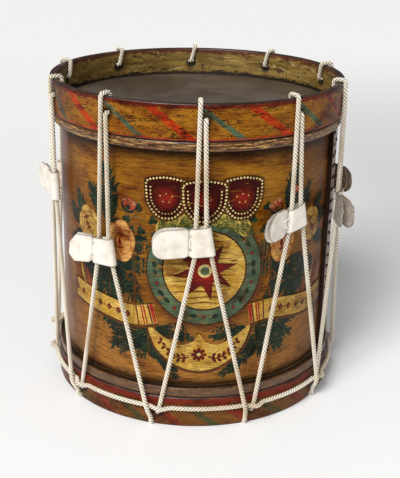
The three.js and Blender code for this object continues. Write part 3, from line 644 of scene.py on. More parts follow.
def hoop_paint(name, base, stripes, pitch, level, slope, bands, hole, amount):
    """Striped paint on a counterhoop: slanting stripes, level edge bands, chips, crackle and dirt at the holes."""
    looks = Looks(name, HOOP_OUTER, **VARNISHED)
    dark, light, streak = base
    tone = looks.ground(dark, light, 0.35, 0.65, (0.02, 0.06, 0), 4)
    grain = looks.patches(streak, 0.5, 0.68, 0.6, (0.03, 0.7, 0), 4, 0.6)
    wear = looks.noise((0.12, 0.3, 0), 4, 0.65)
    for start, half_width, (first, second) in stripes:
        inside = slanted_stripe(looks, wear, start, pitch, slope, level, half_width)
        paint = looks.mix(looks.step(tone, 0.4, 0.6), first, second)
        looks.cover(inside * looks.step(wear, 0.66, 0.5, 0.3, 1.0), paint)
    ragged = looks.height + (wear - 0.5) * 14.0
    for start, end, paint in bands:
        inside = looks.step(ragged, start - 0.8, start + 0.8) * looks.step(ragged, end + 0.8, end - 0.8)
        looks.cover(inside * looks.step(wear, 0.68, 0.54, 0.3, 1.0), paint)
    looks.patches((48, 24, 12), 0.585, 0.64, amount, (0.11, 0.2, 0), 5, 0.7, 0.6)
    looks.fade(looks.cells((0.12, 0.16, 0)), 0.16, 0.1, amount, (58, 30, 14))
    dashes = looks.step(looks.noise((0.16, 0.62, 0), 4, 0.7, 0.8), 0.5, 0.54, 0.0, amount)
    looks.cover(dashes * looks.step(looks.noise((0.021, 0.075, 0), 3, 0.5), 0.53, 0.59), (36, 16, 8))
    age_and_side_shade(looks)
    dirty_holes(looks, *hole, 9.0, 0.85, (30, 16, 8))
    looks.bump(grain + wear * 1.5, 0.45, 0.35)
    return looks.finish(wear, 0.3, 0.5, 0.35, 0.65)


def rim_paint():
    """The dark worn edge of the counterhoops."""
    looks = Looks("hoop_edge", HOOP_OUTER, coat_weight=0.3, coat_roughness=0.3)
    tone = looks.ground((40, 26, 22), (78, 52, 42), 0.4, 0.62, (0.03, 0.2, 0.2), 4, 0.65)
    looks.fade(tone, 0.6, 0.7, 1.0, (116, 52, 30))
    looks.bump(tone, 0.4, 0.3)
    return looks.finish(tone, 0.35, 0.55)


def bare_wood(name, light, dark, stain):
    """Old unpainted ash: long grain and dark stains in patches."""
    looks = Looks(name, HOOP_INNER, 0.6)
    tone = looks.ground(dark, light, 0.35, 0.65, (0.012, 0.1, 0), 4, 0.6)
    grain = looks.patches(stain, 0.5, 0.68, 0.6, (0.02, 0.8, 0.3), 5, 0.65)
    looks.patches(stain, 0.54, 0.64, 0.75, (0.05, 0.09, 0), 5, 0.7, 0.5)
    looks.bump(grain, 0.4, 0.3)
    return looks.finish(tone, 0.5, 0.68)


def hoop_inside():
    """The upper hoop's inner face: yellow-ochre ash, pale rubbed patches, dark edges and hole marks."""
    looks = Looks("hoop_inside", HOOP_INNER, 0.55)
    tone = looks.ground((116, 88, 34), (158, 128, 60), 0.36, 0.64, (0.012, 0.09, 0), 4, 0.6)
    grain = looks.patches((70, 46, 20), 0.5, 0.66, 0.65, (0.02, 0.8, 0.3), 5, 0.65)
    looks.patches((196, 172, 112), 0.57, 0.63, 0.8, (0.03, 0.14, 0), 5, 0.7, 0.4)
    stains = looks.patches((44, 28, 14), 0.55, 0.62, 0.85, (0.05, 0.1, 0), 5, 0.72, 0.6)
    ragged = looks.height + (stains - 0.5) * 26.0
    looks.fade(ragged, DRUM_HEIGHT - 7.5, DRUM_HEIGHT - 5.5, 0.9, (92, 38, 22))
    looks.fade(ragged, BATTER_LEVEL + 5.5, BATTER_LEVEL + 3, 0.95, (30, 20, 14))
    dirty_holes(looks, top_angle(0) + along(TOP_STRAND), TOP_HOLE_Z - 3, 8.0, 0.95, (20, 12, 8))
    looks.bump(grain + stains, 0.45, 0.35)
    return looks.finish(tone, 0.48, 0.64)


def skin(name, light, dark, spot, gloss):
    """Old vellum: cloudy, darker where it was played on or handled."""
    looks = Looks(name, coat_weight=0.1, coat_roughness=0.35)
    clouds = looks.ground(dark, light, 0.36, 0.66, (0.011, 0.011, 0.03), 5, 0.6, 0.4)
    fine = looks.patches(spot, 0.5, 0.72, 0.4, (0.2, 0.2, 0.2), 5, 0.65)
    looks.bump(fine, 0.25, 0.2)
    return looks.finish(clouds, gloss, gloss + 0.12)


def wrapped_skin(name, light, dark, bright):
    """Skin lapped round a flesh hoop: mottled brown, with streaks of painted highlight along its crest, dark specks,
    and painted shade where it curls in towards the shell.
    """
    looks = Looks(name, WRAP_OUTER, coat_weight=0.15, coat_roughness=0.3)
    mottle = looks.ground(dark, light, 0.38, 0.62, (0.05, 0.22, 0), 5, 0.65)
    # Painted highlight: bright streaks along the outermost crest of the wrap
    crest = looks.step(looks.away, WRAP_OUTER - 1.4, WRAP_OUTER - 0.1, 0.0, 0.9)
    looks.cover(looks.step(looks.noise((0.03, 0.5, 0), 5, 0.7), 0.5, 0.58) * crest, bright)
    spots = looks.patches((36, 22, 14), 0.53, 0.58, 0.85, (0.16, 0.55, 0), 4, 0.7)
    # Painted shade: darker where the wrap curls in, away from its crest
    looks.fade(looks.away, WRAP_OUTER - 1.2, WRAP_OUTER - 3.0, 0.85, (24, 15, 10))
    looks.bump(mottle + spots, 0.5, 0.4)
    return looks.finish(mottle, 0.36, 0.5)


def rope_looks():
    """Three-strand white rope: pale crowns, grooves darkened by painted shade and some grime, and dirt in stretches.
    """
    looks = Looks("rope", None, 0.85)
    looks.ground((247, 239, 221), (220, 204, 174), 0.44, 0.7, (0.012,) * 3, 4, 0.6)
    # Painted shade with some grime: the grooves between the strands darker
    looks.fade(looks.value_of("crown"), 0.74, 0.1, 1.0, (118, 92, 62))
    fibres = looks.patches((176, 156, 124), 0.5, 0.7, 0.35, (1.4,) * 3, 4, 0.65)
    looks.bump(fibres, 0.5, 0.35)
    return looks.finish()


def white_leather(name, main, shade, edge):
    """Whitened buff leather: soft, chalky, darkened by grime and painted shade in its folds, round its lace holes and
    along its cut edges.
    """
    looks = Looks(name, None, 0.62, sheen_weight=0.15)
    looks.ground(main, shade, 0.4, 0.68, (0.05,) * 3, 4, 0.6)
    fine = looks.noise((0.5,) * 3, 5, 0.65)
    # Darkens where the tug's build laid grime and painted shade: cut edges, lace holes, the neck's crease and the
    # leaves' inner faces
    looks.cover(looks.value_of("grub") * looks.step(fine, 0.3, 0.6, 0.35, 1.0), edge)
    looks.bump(fine + looks.cells((1.3,) * 3) * 0.4, 0.3, 0.3)
    return looks.finish()


def gut():
    looks = Looks("gut", None, 0.4, coat_weight=0.3, coat_roughness=0.2)
    tone = looks.ground((206, 184, 136), (158, 128, 82), 0.4, 0.65, (0.04, 0.04, 0.2), 4)
    looks.bump(tone, 0.3, 0.2)
    return looks.finish()


def old_metal(name, bright, dull, roughness, metallic=1.0):
    looks = Looks(name, metallic=metallic)
    tarnish = looks.ground(bright, dull, 0.42, 0.64, (0.16,) * 3, 5, 0.65)
    looks.bump(tarnish, 0.25, 0.1)
    return looks.finish(tarnish, roughness, roughness + 0.25, 0.35)


def floor_looks():
    """Pale paper, painted lighter in front of the drum and darker behind it, with a painted shadow to the right
    behind the drum and a faint painted glow for camera rays. Glossy things see it end in front of the drum, where the
    dark room began.
    """
    looks = Looks("floor", None, 0.9, specular_ior_level=0.1)
    x, y, _ = looks.split(looks.metres)
    # Painted light: the paper lighter in front of the drum and darker behind it
    looks.colour = looks.mix(looks.step(y, -0.4, 0.6), (253, 253, 253), (240, 240, 239))
    looks.fade(y, 0.8, 3.0, 1.0, (244, 244, 242))
    # Painted shadow: a grey patch on the floor to the right behind the drum
    behind = looks.step(y, 0.1, 0.7) * looks.step(y, 3.0, 0.9)
    looks.cover(looks.step(x, 0.12, 0.5) * behind * 0.6, (186, 186, 183))
    looks.cover(looks.node("LightPath", (), "Is Glossy Ray") * looks.step(y, -0.42, -1.15), (44, 40, 36))
    # Painted light: the floor glows faintly for camera rays
    looks.put(looks.shader.inputs["Emission Color"], (1, 1, 1, 1))
    looks.put(looks.shader.inputs["Emission Strength"], looks.node("LightPath", (), "Is Camera Ray") * 0.045)
    looks.bump(looks.noise((0.02,) * 3, 3), 0.05, 0.1)
    return looks.finish()


# Rope

def girth_route(angle, end):
    """Round the lower hoop from one crossing to the next: out over the rising strand, then back in."""
    front = angle + along(CROSSING)
    clear = front + GIRTH_LEAD
    points = []
    for share in (0, 0.25, 0.5, 0.75, 1):
        out = ROPE_CROSS + (ROPE_OUT - ROPE_CROSS) * smoothstep(0, 1, share) + GIRTH_LIFT
        points.append((polar(out, front + (clear - front) * share, GIRTH_Z), 0))
    steps = round((end - clear) / 1.5)
    return points + [(polar(ROPE_OUT + GIRTH_LIFT, clear + (end - clear) * step / steps, GIRTH_Z), 0)
                     for step in range(1, steps + 1)]


def tug_corners(index, side):
    tug = TUGS[index]
    leaned = tug.half * tug.lean
    return [(polar(ROPE_OUT, tug.angle + along(side * tug.top - leaned), tug.level + tug.half), 3),
            (polar(ROPE_OUT, tug.angle + along(side * tug.bottom + leaned), tug.level - tug.half), 3)]


def top_corners(index):
    up, down = (top_angle(index) + along(side * TOP_STRAND) for side in (-1, 1))
    return [(polar(ROPE_OUT, up, OVER_RIM), RIM_BEND), (polar(ROPE_IN, up, OVER_RIM), RIM_BEND),
            (polar(ROPE_IN, down, TOP_HOLE_Z), HOLE_BEND), (polar(ROPE_OUT, down, TOP_HOLE_Z), HOLE_BEND)]


def bottom_corners(index):
    angle = bottom_angle(index)
    down, up = (angle + along(side * BOTTOM_HOLE) for side in (-1, 1))
    return [(polar(ROPE_CROSS, angle - along(CROSSING), GIRTH_Z - CROSSING_DROP), 6),
            (polar(ROPE_OUT, down, RETURN_Z), 3),
            (polar(ROPE_OUT, down, UNDER), HOLE_BEND), (polar(ROPE_IN, down, UNDER), HOLE_BEND),
            (polar(ROPE_IN, up, BOTTOM_HOLE_Z), HOLE_BEND), (polar(ROPE_OUT, up, BOTTOM_HOLE_Z), HOLE_BEND),
            (polar(ROPE_OUT, angle + along(CROSSING), GIRTH_Z), 3)]


def rope_corners():
    """The one rope's whole route, as in the part's source."""
    first = TENSIONS - 2
    start = bottom_angle(first - 1)
    corners = [(polar(ROPE_IN - STOPPER_INSET, start + along(BOTTOM_HOLE), BOTTOM_HOLE_Z), 0),
               *bottom_corners(first - 1)[-2:]]
    for turn in range(TENSIONS):
        index = (first + turn) % TENSIONS
        corners += [*tug_corners(index, -1)[::-1], *top_corners(index), *tug_corners(index, 1)]
        if turn < TENSIONS - 1:
            corners += bottom_corners(index)
    corners.append((polar(ROPE_OUT + GIRTH_LIFT, start - along(CROSSING), GIRTH_Z), 5))
    for turn in range(TENSIONS):
        angle = start + turn * PITCH
        before = HITCH[0][0] - 7.2 if turn == TENSIONS - 1 else -along(CROSSING)
        corners += girth_route(angle, angle + PITCH + before)
    return corners + [(polar(ROPE_OUT + stand - ROPE_RADIUS, start + angle, height), 4)
                      for angle, stand, height in HITCH]


def lobed_ring(turn):
    """The outline of twisted strands: three circles side by side, turned together."""
    strand = 0.52 * ROPE_RADIUS
    centre = ROPE_RADIUS - strand
    ring = []
    for lobe in range(LOBES):
        for step in range(LOBE_POINTS):
            inside = (step / LOBE_POINTS - 0.5) * 2 * math.pi / LOBES
            away = centre * math.cos(inside) + math.sqrt(strand ** 2 - (centre * math.sin(inside)) ** 2)
            angle = turn + lobe * 2 * math.pi / LOBES + inside
            ring.append((away * math.cos(angle), away * math.sin(angle)))
    return ring


def twisted_rope(name, points):
    """A laid rope along the points, its strands winding to the right, marked by how far they stand out."""
    obj = swept(name, points, lambda run: lobed_ring(-2 * math.pi * run / ROPE_LAY))
    ring = np.linalg.norm(np.array(lobed_ring(0)), axis=1)
    mark(obj, "crown", np.tile((ring - ring.min()) / (ring.max() - ring.min()), len(points)))
    return obj


def stopper_knot(angle):
    """The overhand knot that stops the rope inside the lower hoop."""
    size = (STOPPER_SIZE - ROPE_RADIUS) / 3
    points = []
    for turn in range(0, 365, 5):
        knot = Vector((sine(turn) + 2 * sine(2 * turn), -sine(3 * turn), cosine(turn) - 2 * cosine(2 * turn)))
        points.append(polar(ROPE_IN - STOPPER_INSET, angle, BOTTOM_HOLE_Z) + spin(angle) @ (knot * size))
    return twisted_rope("stopper_knot", points)


def build_rope():
    looks = rope_looks()
    place(twisted_rope("laid_rope", rounded_route(rope_corners(), ROPE_RING)), looks, "rope", "tension_rope")
    place(stopper_knot(bottom_angle(TENSIONS - 3) + along(BOTTOM_HOLE)), looks, "rope")


# Tugs

OLD_TUGS, SNIPPED, KNOTTED, CRUMPLED = {3, 7}, {4, 9}, {1, 2, 6, 8}, {1, 2, 8}
NECK, LACE_SHIFT = 1.4, 1.2
STRIP_LEVELS = [0, 0.15, 0.3, 0.45, 0.6, 0.74, 0.87, 0.95, 0.985, 1]


def tug_plan(tug):
    """The strip's middle line from above: outer leaf, round the strands, inner leaf."""
    half = (LEAF_GAP + LEATHER) / 2
    radius = TUG_INSIDE + LEATHER / 2
    meet = math.degrees(math.asin(half / radius))
    outer = [(-tug.reach, -half - tug.splay), (-tug.leaf_start, -half)]
    for centre, start, end, steps in ((-tug.middle, 180 - meet, 90, 5), (tug.middle, 90, 0, 6)):
        turns = [start + (end - start) * step / steps for step in range(steps + 1)]
        outer += [(centre + radius * cosine(turn), -radius * sine(turn)) for turn in turns]
    line = finer(outer + [(x, -y) for x, y in reversed(outer[:-1])], 1.3, closed=False)
    for _ in range(3):
        line = line[:1] + [(a + 2 * b + c) / 4 for a, b, c in zip(line, line[1:], line[2:])] + line[-1:]
    return line


def tug_half_height(tug, x, pinch):
    """Half the strip's height: a tip round or cut in straight snips, and a waist drawn in by the lace."""
    past = x + tug.reach
    half = TUG_HALF - pinch * math.exp(-((x - tug.lace + NECK) / 3.2) ** 2)
    if past >= TIP_ROUND:
        return half
    if tug.index in SNIPPED:
        return half - 12 * max(0, 1 - past / 9)
    return half - TIP_ROUND + math.sqrt(max(TIP_ROUND ** 2 - (TIP_ROUND - past) ** 2, 0))


def strip_section(half, edge=0.8):
    """Round the strip's section: (share of the thickness, height)."""
    front = []
    for height in [-half * level for level in STRIP_LEVELS[:0:-1]] + [half * level for level in STRIP_LEVELS]:
        past = max(abs(height) - (half - edge), 0) / edge
        front.append((math.sqrt(max(1 - past ** 2, 0)), height))
    return front[1:] + [(-share, height) for share, height in reversed(front[1:-1])] + front[:1]


def crumple(tug, seed, x, height, outer, on_leaf):
    """How far the leather buckles there."""
    def rough(along_strip, up, *shift):
        return noise.noise(seed + Vector((along_strip, up, *shift)))
    wrinkle = rough(x * 0.09, height * 0.09, outer) * 1.1 * on_leaf
    wrinkle += rough(x * 0.3, height * 0.22, outer * 3) * (0.3 if tug.index in KNOTTED else 0.15)
    if tug.index in CRUMPLED:
        wrinkle += rough(x * 0.1 + height * 0.12, height * 0.05, outer) * 1.3
    return wrinkle


def build_tug(tug, leather):
    draw = random.Random(100 + tug.index)
    line = tug_plan(tug)
    pinch = draw.uniform(1.8, 2.8)
    lift = draw.choice((-1, 1)) * draw.uniform(1.2, 2.6) if tug.index else 2.4
    seed = Vector((draw.uniform(0, 50), draw.uniform(0, 50), 0))
    verts, grub = [], []
    last = len(line) - 1
    for station, (x, y) in enumerate(line):
        ahead = line[min(station + 1, last)] - line[max(station - 1, 0)]
        normal = Vector((-ahead.y, ahead.x)).normalized()
        half = tug_half_height(tug, x, pinch)
        tip = min(station, last - station)
        thick = LEATHER / 2 * (0.55 if tip == 0 else 0.9 if tip == 1 else 1)
        on_leaf = smoothstep(0, 8, -x - tug.waist)
        crease = math.exp(-((x - tug.lace + NECK) / 2.2) ** 2)
        seam = math.exp(-((x - tug.lace + NECK) / 0.8) ** 2)
        outer = -1 if y < 0 else 1
        for side, height in strip_section(half):
            hole = min(Vector((x - tug.lace - LACE_SHIFT, abs(height) - LACE_SPREAD)).length / 2.2, 2)
            wrinkle = crumple(tug, seed, x, height, outer, on_leaf)
            ridge = noise.noise(seed + Vector((outer * 5, height * 0.45, 0))) * crease * 0.7
            sunk = math.exp(-hole ** 2 * 2) + 0.75 * crease + ridge
            bow = 1.4 * on_leaf * (1 - (height / TUG_HALF) ** 2) * smoothstep(0, 16, -x - tug.waist)
            point_y = y + normal.y * side * thick - outer * (sunk * 0.6 + wrinkle * 0.5)
            point_y += bow * 0.5 if outer > 0 else -bow
            verts.append(tug.put(tug.shape(x + normal.x * side * thick, point_y, height, lift)))
            # Grime and painted shadow along the cut edges, grime and painted shade round the lace holes, a painted
            # shadow line down the neck's crease, painted shade on the leaves' inner faces
            rim = max(smoothstep(half - 1.3, half - 0.2, abs(height)),
                      smoothstep(-tug.reach + 1.4, -tug.reach + 0.2, x))
            inside = 0.8 * on_leaf if side * outer < 0 else 0
            grub.append(min(1, 0.9 * rim + 1.2 * math.exp(-hole ** 2 * 1.3) + 0.85 * seam + inside))
    obj = make_object(f"leather_{tug.name}", verts, ring_faces(len(line), len(verts) // len(line)))
    mark(obj, "grub", grub)
    place(turn_out(obj), leather, "white_leather", tug.name, tug.name)


def lace_loop(tug, bow):
    """One turn of the lace through both holes, bowed aside between them."""
    inner = LEAF_GAP / 2 + LEATHER + 0.5 + tug.splay_at(-tug.lace)
    at = tug.lace + LACE_SHIFT
    corners = [(at, -inner, -LACE_SPREAD), (at + bow, -inner - 0.35, -LACE_SPREAD * 0.55),
               (at + bow * 1.3, -inner - 0.4, 0), (at + bow, -inner - 0.35, LACE_SPREAD * 0.55),
               (at, -inner, LACE_SPREAD), (at, inner, LACE_SPREAD),
               (at + bow, inner + 0.3, 0), (at, inner, -LACE_SPREAD)]
    points = rounded_route([(Vector(corner), 1.6) for corner in corners + corners[:2]], 0.7)[1:-1]
    while (points[-1] - points[0]).length <= 1.4:
        points.pop()
    return points


def lace_end(tug, side, draw):
    """A short end of the lace, drawn out of its hole and lying over the leaf."""
    inner = LEAF_GAP / 2 + LEATHER + tug.splay_at(-tug.lace)
    foot = side * LACE_SPREAD
    long = draw.uniform(7, 10)
    return rounded_route([(Vector((tug.lace + 0.4, -inner + 0.6, foot)), 0),
                          (Vector((tug.lace - 1.0, -inner - 1.5, foot * 0.96)), 1.2),
                          (Vector((tug.lace - long * 0.55, -inner - 1.7, foot * 0.72)), 2),
                          (Vector((tug.lace - long, -inner - 1.9, foot * draw.uniform(0.25, 0.6))), 0)], 0.8)


def build_lace(tug, leather):
    draw = random.Random(300 + tug.index)
    lines = [(lace_loop(tug, bow), 1) for bow in (-1.15, 1.15)]
    if tug.index in KNOTTED:
        lines += [(lace_end(tug, side, draw), 1.35) for side in (-1, 1)]
    parts = []
    for line, size in lines:
        section = [(0.75 * size * x, 1.05 * size * y) for x, y in round_ring(1, 10)]
        parts.append(swept(f"lace_{tug.index + 1}", [tug.put(tug.shape(*point)) for point in line],
                           lambda run, section=section: section))
    place(turn_out(join_objects(parts)), leather, "white_leather", f"tug_lace_{tug.index + 1}", tug.name)


def build_tugs():
    white = white_leather("white_leather", (246, 239, 226), (228, 217, 198), (90, 68, 48))
    old = white_leather("old_leather", (236, 222, 198), (204, 186, 156), (84, 64, 46))
    for tug in TUGS:
        for build in (build_tug, build_lace):
            build(tug, old if tug.index in OLD_TUGS else white)


# Hoops

JOINT_ANGLE = 135.5
HOOP_ROUND = 2.6


def build_hoop(name, base, height, cutters, materials, edges, node):
    """A bent-wood rim: painted outside, worn along its edges, bare inside."""
    def wobble(angle, radius, level):
        spot = Vector((cosine(angle) * 9, sine(angle) * 9, level * 0.06))
        return noise.noise(spot) * 0.3 if radius > HOOP_OUTER - 4 else 0

    def choose(radius, level):
        if not edges[0] <= level <= edges[1]:
            return 1
        return 2 if radius < HOOP_INNER + 0.6 else 0
    section = rectangle(HOOP_INNER, HOOP_OUTER, base, base + height, HOOP_ROUND)
    obj = revolve(name, finer(section, 4), wobble)
    place(cut_by(obj, cutters), materials, "painted_hoop", node, choose=choose)
    sharpen(obj, 40)


def rope_hole(angle, height, radius=HOLE_RADIUS):
    return outward_tube("hole", radius, HOOP_INNER - 5, HOOP_OUTER + 5, angle, height)


def build_top_hoop():
    start = top_angle(0) + along(TOP_STRAND)
    cutters = [rope_hole(start + index * PITCH, TOP_HOLE_Z) for index in range(TENSIONS)]
    # The narrow open joint where the hoop's end shows on its inside
    slit = extruded("joint_slit", rectangle(-0.5, 0.5, 0, 3.2), TOP_HOOP_BASE - 2, DRUM_HEIGHT + 2)
    cutters.append(moved(slit, spin(JOINT_ANGLE) @ Matrix.Translation((0, -HOOP_INNER - 1.4, 0))))
    teal, red = ((62, 84, 66), (88, 108, 78)), ((196, 60, 10), (170, 42, 8))
    outer = hoop_paint(
        "top_hoop_paint", ((142, 82, 12), (172, 116, 28), (92, 50, 12)),
        [(2.6, 1.5, teal), (20.6, 2.1, red)], PITCH, 450.0, 0.37,
        [(TOP_HOOP_BASE - 9, TOP_HOOP_BASE + 3.2, (178, 46, 14)),
         (DRUM_HEIGHT - 6.5, DRUM_HEIGHT + 9, (104, 34, 18))],
        (start, TOP_HOLE_Z), 0.9)
    build_hoop("top_hoop", TOP_HOOP_BASE, DRUM_HEIGHT - TOP_HOOP_BASE, cutters, [outer, rim_paint(), hoop_inside()],
               (TOP_HOOP_BASE + 1.2, DRUM_HEIGHT - 1.6), "top_counterhoop")


def build_bottom_hoop():
    half = 4.3
    shoulder = UNDER + ROPE_RADIUS + 0.9 - half
    arch = [(-half, -3), (half, -3), (half, shoulder)]
    arch += [(half * cosine(turn), shoulder + half * sine(turn)) for turn in range(15, 180, 15)] + [(-half, shoulder)]
    cutters = []
    for index in range(TENSIONS):
        cutters.append(rope_hole(bottom_angle(index) + along(BOTTOM_HOLE), BOTTOM_HOLE_Z))
        notch = extruded("notch", arch, HOOP_INNER - 5, HOOP_OUTER + 5)
        cutters.append(moved(notch, spin(bottom_angle(index) - along(BOTTOM_HOLE)) @ spin(90, "X")))
    cutters.append(rope_hole(SNARE_ANGLE, HOOK_LEVEL, 2.6))
    red, green = ((138, 44, 24), (116, 44, 26)), ((66, 66, 34), (82, 76, 40))
    outer = hoop_paint(
        "bottom_hoop_paint", ((104, 62, 22), (128, 82, 32), (66, 38, 16)),
        [(-11.3, 2.3, red), (2.5, 2.0, green)], 360 / 13, 20.0, 0.35,
        [(34.5, BOTTOM_HOOP_TOP + 9, (118, 34, 20)), (-9.0, 1.6, (70, 34, 22))],
        (bottom_angle(0) + along(BOTTOM_HOLE), BOTTOM_HOLE_Z), 0.75)
    inner = bare_wood("lower_hoop_inside", (150, 120, 66), (104, 80, 40), (50, 34, 18))
    build_hoop("bottom_hoop", 0, BOTTOM_HOOP_TOP, cutters, [outer, rim_paint(), inner],
               (1.2, BOTTOM_HOOP_TOP - 1.2), "bottom_counterhoop")


# Heads

def head_outline(level, edge, inward, soft, thick=0.8, gap=0.3):
    """A skin from the middle, over the shell's edge, down to its hoop and round it."""
    collar_in = SHELL_RADIUS + gap
    wrap_in = FLESH_OUTER + gap
    near = edge + inward * gap
    far = near + inward * (12 + 2 * gap + 2 * thick)
    skin_over = inward * thick
    corners = [
        (0, level, 0), (collar_in + thick, level, 2.4), (collar_in + thick, far - skin_over, 0.5),
        (wrap_in, far - skin_over, 1.8), (wrap_in, near + skin_over, 1.8), (wrap_in - 6, near + skin_over, 0),
        (wrap_in - 6, near, 0), (WRAP_OUTER, near, soft), (WRAP_OUTER, far, soft), (collar_in, far, 0.8),
        (collar_in, level + skin_over, 1.6), (0, level + skin_over, 0)]
    return finer(rounded(corners, 6), 7, closed=False)


def head_wobble(angle, radius, height):
    if radius <= FLESH_OUTER + 0.4:
        return 0
    spot = Vector((cosine(angle) * 12, sine(angle) * 12, height * 0.25))
    return noise.noise(spot) * 0.55 + noise.noise(spot * 3.1) * 0.25


def build_heads():
    played = skin("played_skin", (104, 92, 80), (78, 66, 56), (56, 46, 40), 0.34)
    lower = skin("lower_skin", (186, 164, 122), (156, 132, 92), (120, 96, 62), 0.42)
    wrap_top = wrapped_skin("upper_wrap", (118, 70, 30), (60, 32, 14), (206, 160, 92))
    wrap_low = wrapped_skin("lower_wrap", (106, 70, 36), (80, 50, 25), (126, 88, 44))
    for name, node, outline, materials in (
            ("batter_skin", "batter_head", (BATTER_LEVEL, TOP_HOOP_BASE, -1, 4.6), [played, wrap_top]),
            ("snare_skin", "snare_head", (SNARE_LEVEL, BOTTOM_HOOP_TOP, 1, 2.6), [lower, wrap_low])):
        obj = revolve(name, head_outline(*outline), head_wobble, closed=False)
        place(obj, materials, name, node, choose=lambda radius, height: int(radius > SHELL_RADIUS + 1.5))
        sharpen(obj, 50)


# Shell

BOARD = 6
TACK_PITCH, TACK_RADIUS, TACK_RISE = 17.2, 3.3, 1.5


def shell_wobble(angle, height):
    """How far the old board stands off its true circle."""
    spot = Vector((cosine(angle) * 3.2, sine(angle) * 3.2, height * 0.012))
    return noise.noise(spot) * 0.5 + noise.noise(spot * 2.7) * 0.12


def build_shell(material):
    def wobble(angle, radius, height):
        ends = smoothstep(SHELL_BASE, SHELL_BASE + 30, height) * smoothstep(SHELL_TOP, SHELL_TOP - 30, height)
        return shell_wobble(angle, height) * smoothstep(SHELL_RADIUS - 5.5, SHELL_RADIUS, radius) * ends
    section = rectangle(SHELL_RADIUS - BOARD, SHELL_RADIUS, SHELL_BASE, SHELL_TOP, 1.8, 3)
    obj = revolve("shell_board", finer(section, 7), wobble)
    cut_by(obj, [outward_tube("vent", VENT_RADIUS, SHELL_RADIUS - 10, SHELL_RADIUS + 5, 180, VENT_Z)])
    place(sharpen(obj, 40), material, "varnished_shell", "shell")


def lap_surface(angle, height):
    share = (angle - LAP_START) / LAP_WIDE
    bulge = LAP_BULGE * smoothstep(76, 84, angle) * smoothstep(104, 88, angle)
    return SHELL_RADIUS + LAP_STEP * (1 - share) - 0.6 * share + bulge + shell_wobble(angle, height) * 0.8


def build_lap(material):
    """The outer end of the board where it laps over the inner one, thinned to nothing behind."""
    columns = [0, 0.15, 0.6, 1.3, *range(3, LAP_WIDE, 3), LAP_WIDE]
    tall = LAP_TOP - LAP_BASE
    rows = [row for row in (0, 0.4, LAP_EDGE, *range(7, 323, 7)) if row < tall - 3]
    rows += [tall - LAP_EDGE, tall - 0.4, tall]
    verts = []
    for column in columns:
        for row in rows:
            edge = min(column * 3.4, row, tall - row)
            drop = LAP_EDGE * (1 - math.sqrt(1 - (1 - min(edge / LAP_EDGE, 1)) ** 2))
            ragged = noise.noise(Vector((row * 0.05, 3, 0))) * 0.35 if column < 1 else 0
            angle = LAP_START + column
            verts.append(polar(lap_surface(angle, LAP_BASE + row) - drop, angle + ragged, LAP_BASE + row))
    verts += [polar(SHELL_RADIUS - LAP_EDGE, LAP_START + column, LAP_BASE + row)
              for column in columns for row in rows]
    wide, tall_count = len(columns), len(rows)
    back = wide * tall_count
    faces = []
    for column in range(wide - 1):
        for a in range(column * tall_count, (column + 1) * tall_count - 1):
            b = a + tall_count
            faces += [(a, b, b + 1, a + 1), (back + a, back + a + 1, back + b + 1, back + b)]
    loop = [*range(0, back, tall_count), *range(back - tall_count + 1, back),
            *range(back - tall_count - 1, 0, -tall_count), *range(tall_count - 2, 0, -1)]
    faces += [(a, back + a, back + b, b) for a, b in zip(loop, loop[1:] + loop[:1])]
    place(sharpen(turn_out(make_object("shell_lap", verts, faces)), 40), material, "varnished_shell")


def dome(radius, rise, rings=4, sides=14):
    """A nail head: (across, up, out) points and faces, with its foot sunk in the wood."""
    verts = [(0, 0, rise)]
    for ring in range(1, rings + 1):
        share = ring / rings
        out = rise * math.sqrt(1 - share ** 2) if ring < rings else -0.8
        verts += [(x, y, out) for x, y in round_ring(radius * share, sides)]
    faces = [(0, 1 + side, 1 + (side + 1) % sides) for side in range(sides)]
    for first in range(1, 1 + (rings - 1) * sides, sides):
        for side in range(sides):
            a, b = first + side, first + (side + 1) % sides
            faces.append((a, a + sides, b + sides, b))
    faces.append(tuple(1 + (rings - 1) * sides + side for side in range(sides)))
    return verts, faces


def build_tacks():
    """Two rows of iron tacks hold the lap down."""
    spots = []
    for angle, start in ((72.7, 8), (78.6, 14)):
        height = LAP_BASE + start
        while height < LAP_TOP - 6:
            turned = angle + random.uniform(-0.35, 0.35)
            spots.append((turned, height, lap_surface(turned, height)))
            height += TACK_PITCH + random.uniform(-1.6, 1.6)
    verts, faces = [], []
    for angle, height, surface in spots:
        size = random.uniform(0.88, 1.12)
        shape, shape_faces = dome(TACK_RADIUS * size, TACK_RISE * size)
        faces += [tuple(len(verts) + corner for corner in face) for face in shape_faces]
        verts += [spin(angle) @ Vector((across, -surface - out, height + up)) for across, up, out in shape]
    iron = old_metal("iron_tacks", (34, 27, 24), (16, 12, 10), 0.5, 0.5)
    place(turn_out(make_object("lap_tacks", verts, faces)), iron, "brass")


def build_eyelet(brass):
    """A brass tube through the board, with a flange that is thickest at its bore."""
    foot, flange = SHELL_RADIUS - 10, SHELL_RADIUS + 0.3
    outline = rounded([(4.4, foot, 0), (5.9, foot, 0), (5.9, flange, 0), (10, flange, 0.4), (9.6, flange + 1.1, 0.6),
                       (6.4, flange + 1.9, 1.6), (4.4, flange + 0.5, 0.8)], 3)
    ring = moved(revolve("eyelet", outline, segments=64),
                 Matrix.Translation((0, 0, VENT_Z)) @ spin(180) @ spin(90, "X"))
    place(sharpen(turn_out(ring), 50), brass, "brass", "vent_eyelet")


# Snares

